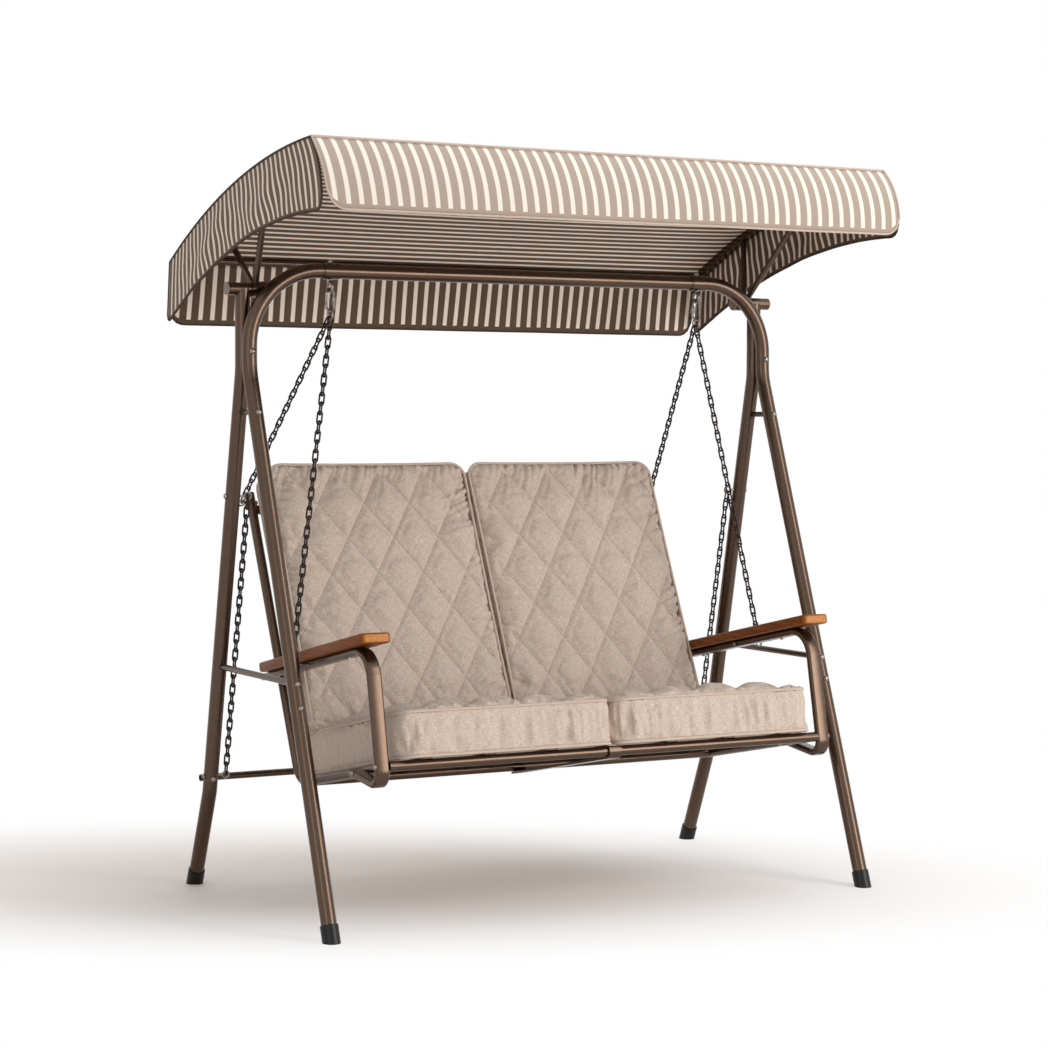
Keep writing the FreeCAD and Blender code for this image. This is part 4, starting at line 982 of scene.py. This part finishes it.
def cushion(name, node, length, edge, crown, shift, seed, matrix, under_back):
    """A boxed, quilted cushion: filled by cloth simulation, then sewn and gathered along its seams."""
    made = cover_blank(name, length, edge)
    pinned = crowned(made, length, edge, crown, shift)
    inflated(made, pinned)
    smooth = made.modifiers.new("subdivision", "SUBSURF")
    smooth.levels = 1
    smooth.render_levels = 1
    bpy.ops.object.modifier_apply(modifier=smooth.name)
    bm = bmesh.new()
    bm.from_mesh(made.data)
    bm.normal_update()
    stitched(bm, length, edge, shift, seed, under_back)
    bm.normal_update()
    cloth_maps(bm, shift)
    bm.to_mesh(made.data)
    bm.free()
    made.data.transform(matrix)
    for polygon in made.data.polygons:
        polygon.use_smooth = True
    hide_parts(node)


def rim_points(width, length, edge, height):
    """A rounded loop round a cushion's edge, drawn in between its corners."""
    bm = bmesh.new()
    signs = ((1, 1), (-1, 1), (-1, -1), (1, -1))
    corners = [bm.verts.new((x * width / 2, y * length / 2, height)) for x, y in signs]
    bm.faces.new(corners)
    rounded(bm, corners, PAD_CORNER, 6, "VERTICES")
    long_edges = [side_edge for side_edge in bm.edges if side_edge.calc_length() > PAD_CORNER]
    bmesh.ops.subdivide_edges(bm, edges=long_edges, cuts=14)
    bm.faces.ensure_lookup_table()
    points = [drawn_in(vert.co, width, length, edge) for vert in bm.faces[0].verts]
    bm.free()
    return points


def cushion_piping(name, length, edge, matrix, under_back):
    """The piping round a cushion's upper and lower seams."""
    bm = bmesh.new()
    for height in (LOW_PIPING_Z, edge - PIPING_DOWN):
        rim = rim_points(CUSHION_W - 2 * PIPING_INSET, length - 2 * PIPING_INSET, edge, height)
        if under_back:
            rim = [pressed(point, length) for point in rim]
        bm.from_mesh(wire_mesh([matrix @ point for point in rim], PIPING_R, True))
    made = piece(name, bm, [PIPING_CLOTH], "bench")


for name, side in SIDES.items():
    x = side * CUSHION_PITCH / 2
    shift = DIAMOND_SHIFTS[name]
    low, high = SEAT_PAD
    seat = bench_matrix(0) @ Matrix.Translation((x, (low + high) / 2, PAD_GAP))
    cushion(
        "seat_cushion_cover_" + name, "seat_cushion_" + name, high - low, SEAT_EDGE, SEAT_CROWN, shift,
        SEAT_SEED * side, seat, True,
    )
    cushion_piping("seat_cushion_piping_" + name, high - low, SEAT_EDGE, seat, True)
    low, high = BACK_PAD
    back = bench_matrix(BACK_LEAN) @ Matrix.Translation((x, -PAD_GAP, (low + high) / 2))
    back = back @ Matrix.Rotation(math.radians(90), 4, "X")
    cushion(
        "back_cushion_cover_" + name, "back_cushion_" + name, high - low, BACK_EDGE, BACK_CROWN, shift,
        BACK_SEED * side, back, False,
    )
    cushion_piping("back_cushion_piping_" + name, high - low, BACK_EDGE, back, False)


# Chains
def link_mesh(length, width, radius):
    """One welded link of round wire along Z with half-round ends, in few faces as there are many."""
    bend = width / 2 - radius
    straight = length / 2 - radius - bend
    loop = []
    for end in (1, -1):
        for step in range(5):
            angle = math.radians(45 * step + (0 if end > 0 else 180))
            loop.append(Vector((bend * math.cos(angle), 0, end * straight + bend * math.sin(angle))))
    return wire_mesh(loop, radius, True, 1)


def chain(node, body):
    """Round links in place of a CAD chain's plain ones, each where that link is and turned as it is."""
    links = sorted(islands(node), key=lambda points: -middle(points).z)
    centres = [middle(points) for points in links]
    way = (centres[-1] - centres[0]).normalized()
    pitch = (centres[-1] - centres[0]).length / (len(centres) - 1)
    across = (RIGHT - way * way.x).normalized()
    other = way.cross(across)
    model = link_mesh(pitch + 6 * CHAIN_WIRE_R, CHAIN_LINK_W, CHAIN_WIRE_R)
    bm = bmesh.new()
    for points, centre in zip(links, centres):
        reach = [max((point - centre).dot(axis) for point in points) for axis in (across, other)]
        add_mesh(bm, model, axis_frame(centre, way, across if reach[0] > reach[1] else other))
    made = piece(node + "_links", bm, [CHAIN_STEEL], body)
    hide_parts(node)


for name in SIDES:
    chain("front_chain_" + name, "bench")
    chain("rear_chain_" + name, "bench")
    chain("parking_chain_" + name, "stand")


# Rings, eye bolts and hanger links of round wire
def turned(bm, profile, steps, before, matrix):
    """Spins a profile a full turn about Z, merges and closes it, turns it outwards and puts it in place."""
    bmesh.ops.spin(
        bm, geom=profile, cent=(0, 0, 0), axis=(0, 0, 1), angle=2 * math.pi, steps=steps, use_merge=True
    )
    made = [vert for vert in bm.verts if vert not in before]
    bmesh.ops.remove_doubles(bm, verts=made, dist=1e-6)
    rim = [edge for edge in bm.edges if edge.is_boundary and edge.verts[0] not in before]
    if rim:
        bmesh.ops.holes_fill(bm, edges=rim, sides=0)
    faces = [face for face in bm.faces if face.verts[0] not in before]
    bmesh.ops.recalc_face_normals(bm, faces=faces)
    made = [vert for vert in bm.verts if vert not in before]
    bmesh.ops.transform(bm, matrix=matrix, verts=made)


def ring(bm, centre, normal, across, radius, wire):
    """A ring of round wire, spun about its normal."""
    before = set(bm.verts)
    bmesh.ops.create_circle(bm, cap_ends=False, segments=10, radius=wire / 2)
    made = [vert for vert in bm.verts if vert not in before]
    bmesh.ops.rotate(bm, cent=(0, 0, 0), matrix=Matrix.Rotation(math.radians(90), 3, "X"), verts=made)
    bmesh.ops.translate(bm, vec=(radius, 0, 0), verts=made)
    edges = [edge for edge in bm.edges if edge.verts[0] in made]
    turned(bm, made + edges, 28, before, axis_frame(centre, normal, across))


def bar(bm, start, end, radius, sides, rounding=0.0):
    """A straight bar, round or with flats, whose end rims may be rounded over."""
    way = end - start
    made = bmesh.ops.create_cone(
        bm, cap_ends=True, segments=sides, radius1=radius, radius2=radius, depth=way.length,
        matrix=axis_frame((start + end) / 2, way, Vector((0.31, 0.52, 0.79))),
    )["verts"]
    if rounding:
        rims = {edge for vert in made for edge in vert.link_edges}
        rims = [edge for edge in rims if abs((edge.verts[0].co - edge.verts[1].co).dot(way)) < 1e-9]
        rounded(bm, rims, rounding, 2)


def hardware(name, bm, node, body, slot="zinc"):
    """A crisp piece in the finish of its slot, in place of a CAD node."""
    made = piece(name, bm, [FINISHES[slot]], body)
    crisp(made)
    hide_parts(node)


eyes = bmesh.new()
hangers = bmesh.new()
rings = bmesh.new()
for side in SIDES.values():
    hook = Vector((side * HOOK_X, HOOP_Y, 0))
    ring(eyes, hook + UP * EYE_Z, RIGHT, UP, EYE_R, EYE_WIRE)
    bar(eyes, hook + UP * (EYE_Z + EYE_R), hook + UP * (EYE_NUT[1] + EYE_TIP), EYE_WIRE / 2, 14)
    bar(eyes, hook + UP * EYE_NUT[0], hook + UP * EYE_NUT[1], EYE_NUT[2] / 2, 6, BIG_NUT_EDGE)
    hanger_length = PIN_Z - HANGER_LOW_Z + HANGER_WIRE
    link = link_mesh(hanger_length, 2 * HANGER_HALF_W + HANGER_WIRE, HANGER_WIRE / 2)
    add_mesh(hangers, link, Matrix.Translation(hook + UP * (PIN_Z + HANGER_LOW_Z) / 2))
    sleeve = hook + Vector((-side * HANGER_HALF_W, 0, (PIN_Z + HANGER_LOW_Z) / 2))
    bar(hangers, sleeve - UP * SLEEVE[0] / 2, sleeve + UP * SLEEVE[0] / 2, SLEEVE[1] / 2, 6, SLEEVE_EDGE)
    ring(rings, hook + UP * RING_Z, RIGHT, UP, RING_R, RING_WIRE)
hardware("hanger_eye_bolts", eyes, "hanger_eyes", "stand")
hardware("hanger_quick_links", hangers, "hanger_links", "bench")
hardware("chain_gathering_rings", rings, "chain_rings", "bench")


def small_eyes(node, body, ring_outside, pulls_to):
    """Round eye bolts in place of a CAD node's: shanks along X, rings that face the chain's pull."""
    bm = bmesh.new()
    for points in islands(node):
        low = min(point.x for point in points)
        high = max(point.x for point in points)
        right = 1 if low + high > 0 else -1
        outward = right if ring_outside else -right
        ring_end = high if outward > 0 else low
        nut_end = low if outward > 0 else high
        ring_x = ring_end - outward * (SMALL_EYE_R + SMALL_EYE_WIRE / 2)
        around = [point for point in points if abs(point.x - ring_x) < SMALL_EYE_R + SMALL_EYE_WIRE]
        centre = middle(around)
        centre.x = ring_x
        pull = pulls_to(centre) - centre
        pull.x = 0
        ring(bm, centre, RIGHT.cross(pull).normalized(), RIGHT, SMALL_EYE_R, SMALL_EYE_WIRE)
        start = centre - RIGHT * outward * SMALL_EYE_R
        end = Vector((nut_end, centre.y, centre.z))
        bar(bm, start, end, BOLT_R, 10)
        bar(bm, end, end + RIGHT * outward * NUT_H, NUT_ACROSS / 2, 6, NUT_EDGE)
    hardware(node + "_round", bm, node, body)


def to_gathering_ring(centre):
    """The ring that gathers a bench chain's pull."""
    return Vector((math.copysign(HOOK_X, centre.x), HOOP_Y, RING_Z))


def along_rear_leg(centre):
    """A point up the rear leg, along which a parking chain pulls."""
    return centre + REAR_LEG_LINE


small_eyes("arm_eyes", "bench", True, to_gathering_ring)
small_eyes("back_eyes", "bench", True, to_gathering_ring)
small_eyes("parking_eyes", "stand", False, along_rear_leg)


# Domed bolts
def dome(bm, foot, way):
    """A domed bolt head or cap nut, turned about its axis, with a foot that reaches a round tube."""
    before = set(bm.verts)
    profile = [bm.verts.new((share * DOME_R, 0, height * DOME_H)) for share, height in DOME_OUTLINE]
    profile.append(bm.verts.new((DOME_R, 0, -DOME_FOOT)))
    edges = [bm.edges.new(pair) for pair in zip(profile, profile[1:])]
    turned(bm, profile + edges, 18, before, axis_frame(foot, way, Vector((0.3, 0.2, 1))))


def domed_bolts(node, body, way):
    """Domed heads and cap nuts on a CAD node's bolts, which all run one way."""
    bm = bmesh.new()
    for points in islands(node):
        centre = middle(points)
        reach = max((point - centre).dot(way) for point in points)
        bar(bm, centre - way * (reach - BOLT_TIP), centre + way * (reach - BOLT_TIP), BOLT_R, 8)
        for end in (way, -way):
            tip = [point - centre for point in points if (point - centre).dot(end) > reach - BOLT_TIP]
            breadth = max((offset - way * offset.dot(way)).length for offset in tip)
            if breadth > 1.6 * BOLT_R:
                dome(bm, centre + end * (reach - NUT_H), end)
    hardware(node + "_domed", bm, node, body)


domed_bolts("apex_bolts", "stand", BACKWARD)
domed_bolts("brace_bolts", "stand", BACKWARD)
domed_bolts("cross_tube_bolts", "stand", BACKWARD)
domed_bolts("arm_bolts", "bench", RIGHT)


# Plugs in the open tops of the back's uprights
def tube_plug(node, way, body):
    """A black plug pressed into a tube's open end, the furthest along a way."""
    points = [vert.co for vert in frame["nodes"][node].data.vertices]
    furthest = max(point.dot(way) for point in points)
    rim = middle([point for point in points if point.dot(way) > furthest - 0.0005])
    bm = bmesh.new()
    bar(bm, rim - way * PLUG_DEPTH, rim, PLUG_R - PLUG_EDGE, 24)
    bar(bm, rim, rim + way * PLUG_RISE, PLUG_R, 24, PLUG_EDGE)
    made = piece(node + "_plug", bm, [BLACK_CAP], body)
    crisp(made)


for name in SIDES:
    tube_plug("seat_side_frame_" + name, bench_matrix(BACK_LEAN).to_3x3() @ UP, "bench")


# Arm frames of flattened tube
def run_on(bm, edges, step):
    """Extrudes an open loop of edges along a straight run and gives the loop at its end."""
    made = bmesh.ops.extrude_edge_only(bm, edges=edges)["geom"]
    verts = [part for part in made if isinstance(part, bmesh.types.BMVert)]
    bmesh.ops.translate(bm, vec=step, verts=verts)
    return [part for part in made if isinstance(part, bmesh.types.BMEdge) and len(part.link_faces) == 1]


def bend_on(bm, edges, centre, degrees, steps):
    """Spins an open loop of edges round a bend in the plane of Y and Z and gives the loop at its end."""
    verts = list({vert for edge in edges for vert in edge.verts})
    made = bmesh.ops.spin(
        bm, geom=verts + edges, cent=centre, axis=(1, 0, 0), angle=math.radians(degrees), steps=steps
    )["geom_last"]
    return [part for part in made if isinstance(part, bmesh.types.BMEdge)]


def arm_frame(side):
    """A flattened tube along under the arm, down at its front, and back under the seat."""
    bm = bmesh.new()
    x = side * ARM_X
    half_w, half_t = ARM_SECTION[0] / 2, ARM_SECTION[1] / 2
    corners = [
        bm.verts.new((x + across * half_w, ARM_REAR_Y, ARM_Z + up * half_t))
        for across, up in ((1, 1), (-1, 1), (-1, -1), (1, -1))
    ]
    bm.faces.new(corners)
    rounded(bm, corners, ARM_EDGE_R, 4, "VERTICES")
    first = list(bm.edges)
    bmesh.ops.delete(bm, geom=list(bm.faces), context="FACES_ONLY")
    tail_way = Vector((0, ARM_TAIL[0] - ARM_FRONT_Y, ARM_TAIL[1] - ARM_FOOT_Z))
    foot_turn = 90 + math.degrees(math.atan2(tail_way.z, tail_way.y))
    foot_tangent = ARM_FOOT_R * math.tan(math.radians(foot_turn / 2))
    bend_y = ARM_FRONT_Y + ARM_BEND_R
    bend_z = ARM_Z - ARM_BEND_R
    foot_z = ARM_FOOT_Z + foot_tangent
    edges = run_on(bm, first, (0, bend_y - ARM_REAR_Y, 0))
    edges = bend_on(bm, edges, (x, bend_y, bend_z), 90, 14)
    edges = run_on(bm, edges, (0, 0, foot_z - bend_z))
    edges = bend_on(bm, edges, (x, ARM_FRONT_Y + ARM_FOOT_R, foot_z), foot_turn, 12)
    edges = run_on(bm, edges, tail_way.normalized() * (tail_way.length - foot_tangent))
    bmesh.ops.edgeloop_fill(bm, edges=first)
    bmesh.ops.edgeloop_fill(bm, edges=edges)
    bmesh.ops.recalc_face_normals(bm, faces=bm.faces)
    bmesh.ops.transform(bm, matrix=bench_matrix(0), verts=bm.verts)
    return bm


for name, side in SIDES.items():
    hardware("arm_tube_" + name, arm_frame(side), "arm_frame_" + name, "bench", "bronze_paint")


# Wooden arms
for name, side in SIDES.items():
    bm = rounded_block(*WOOD, WOOD_CORNER_R, 5, WOOD_EDGE_R, 4)
    level = Vector((side * ARM_X, WOOD_MIDDLE_Y, ARM_Z + ARM_SECTION[1] / 2))
    bmesh.ops.transform(bm, matrix=bench_matrix(0) @ Matrix.Translation(level), verts=bm.verts)
    hardware("wood_arm_" + name, bm, "arm_pad_" + name, "bench", "teak")


# Finishes on the solids that stay
for entry in frame["record"]["subparts"]:
    solid = frame["nodes"][entry["node"]]
    solid.data.materials.clear()
    solid.data.materials.append(FINISHES[entry["material_slot"]])


# Floor, light and camera
def background_rays(tree):
    """1 for the rays that should meet plain white: seen by the camera, mirrored or through glass."""
    rays = add(tree, "LightPath").outputs
    first = {0: rays["Is Camera Ray"], 1: rays["Is Glossy Ray"]}
    seen = add(tree, "Math", {"operation": "MAXIMUM"}, first)
    return add(tree, "Math", {"operation": "MAXIMUM"}, {0: seen, 1: rays["Is Transmission Ray"]})


def studio_floor():
    """A pale floor that keeps the swing's shadow in an oval under it and is plain white beyond."""
    bm = bmesh.new()
    bmesh.ops.create_grid(bm, x_segments=1, y_segments=1, size=FLOOR_HALF)
    mesh = bpy.data.meshes.new("floor")
    bm.to_mesh(mesh)
    bm.free()
    floor = bpy.data.objects.new("floor", mesh)
    bpy.context.collection.objects.link(floor)
    shader = {"Base Color": linear("#f0e8e2"), "Roughness": 0.9}
    paper, tree, surface = material("white_studio_floor", shader)
    output = next(node for node in tree.nodes if node.type == "OUTPUT_MATERIAL")
    glow = add(tree, "Emission", {"Color": (1, 1, 1, 1), "Strength": 1.0})
    place = add(tree, "TexCoord")
    oval = add(
        tree, "Mapping",
        {
            "vector_type": "TEXTURE", "Location": SHADOW_AT, "Scale": SHADOW_HALF,
            "Rotation": (0, 0, math.radians(SHADOW_TURN)),
        },
        {"Vector": place.outputs["Object"]},
    )
    reach = add(tree, "VectorMath", {"operation": "LENGTH"}, {0: oval})
    fade = add(
        tree, "MapRange", {"interpolation_type": "SMOOTHSTEP", "From Min": SHADOW_FADE},
        {"Value": reach.outputs["Value"]},
    )
    share = add(tree, "Math", {"operation": "MULTIPLY"}, {0: background_rays(tree), 1: fade})
    mixed = add(tree, "MixShader", links={0: share, 1: surface, 2: glow})
    join(tree, mixed, output, "Surface")
    mesh.materials.append(paper)


def studio_world():
    """Soft light from all round, and white where the camera, metal or glass sees past the floor."""
    world = bpy.data.worlds.new("studio")
    bpy.context.scene.world = world
    world.use_nodes = True
    tree = world.node_tree
    tree.nodes.clear()
    soft = add(tree, "Background", {"Color": (1, 1, 1, 1), "Strength": SOFT_LIGHT})
    white = add(tree, "Background", {"Color": (1, 1, 1, 1), "Strength": 1.0})
    mixed = add(tree, "MixShader", links={0: background_rays(tree), 1: soft, 2: white})
    add(tree, "OutputWorld", links={"Surface": mixed})


def softbox(name, place, size, power):
    """A rectangular studio light that faces the swing."""
    light = bpy.data.lights.new(name, "AREA")
    light.shape = "RECTANGLE"
    light.size = size[0]
    light.size_y = size[1]
    light.energy = power
    holder = bpy.data.objects.new(name, light)
    holder.location = place
    holder.rotation_euler = (LIT_POINT - place).to_track_quat("-Z", "Y").to_euler()
    bpy.context.collection.objects.link(holder)


studio_floor()
studio_world()
for name, (place, size, power) in SOFTBOXES.items():
    softbox(name, place, size, power)

lens = bpy.data.cameras.new("camera")
lens.lens = LENS_MM
lens.sensor_width = SENSOR_MM
lens.sensor_height = SENSOR_MM
lens.sensor_fit = "HORIZONTAL"
camera = bpy.data.objects.new("camera", lens)
turn = CAMERA_WAY.to_track_quat("-Z", "Y").to_matrix().to_4x4()
roll = Matrix.Rotation(math.radians(CAMERA_ROLL), 4, "Z")
camera.matrix_world = Matrix.Translation(CAMERA_AT) @ turn @ roll
bpy.context.collection.objects.link(camera)
bpy.context.scene.camera = camera
bpy.context.scene.view_settings.view_transform = "Standard"

bpy.context.view_layer.update()
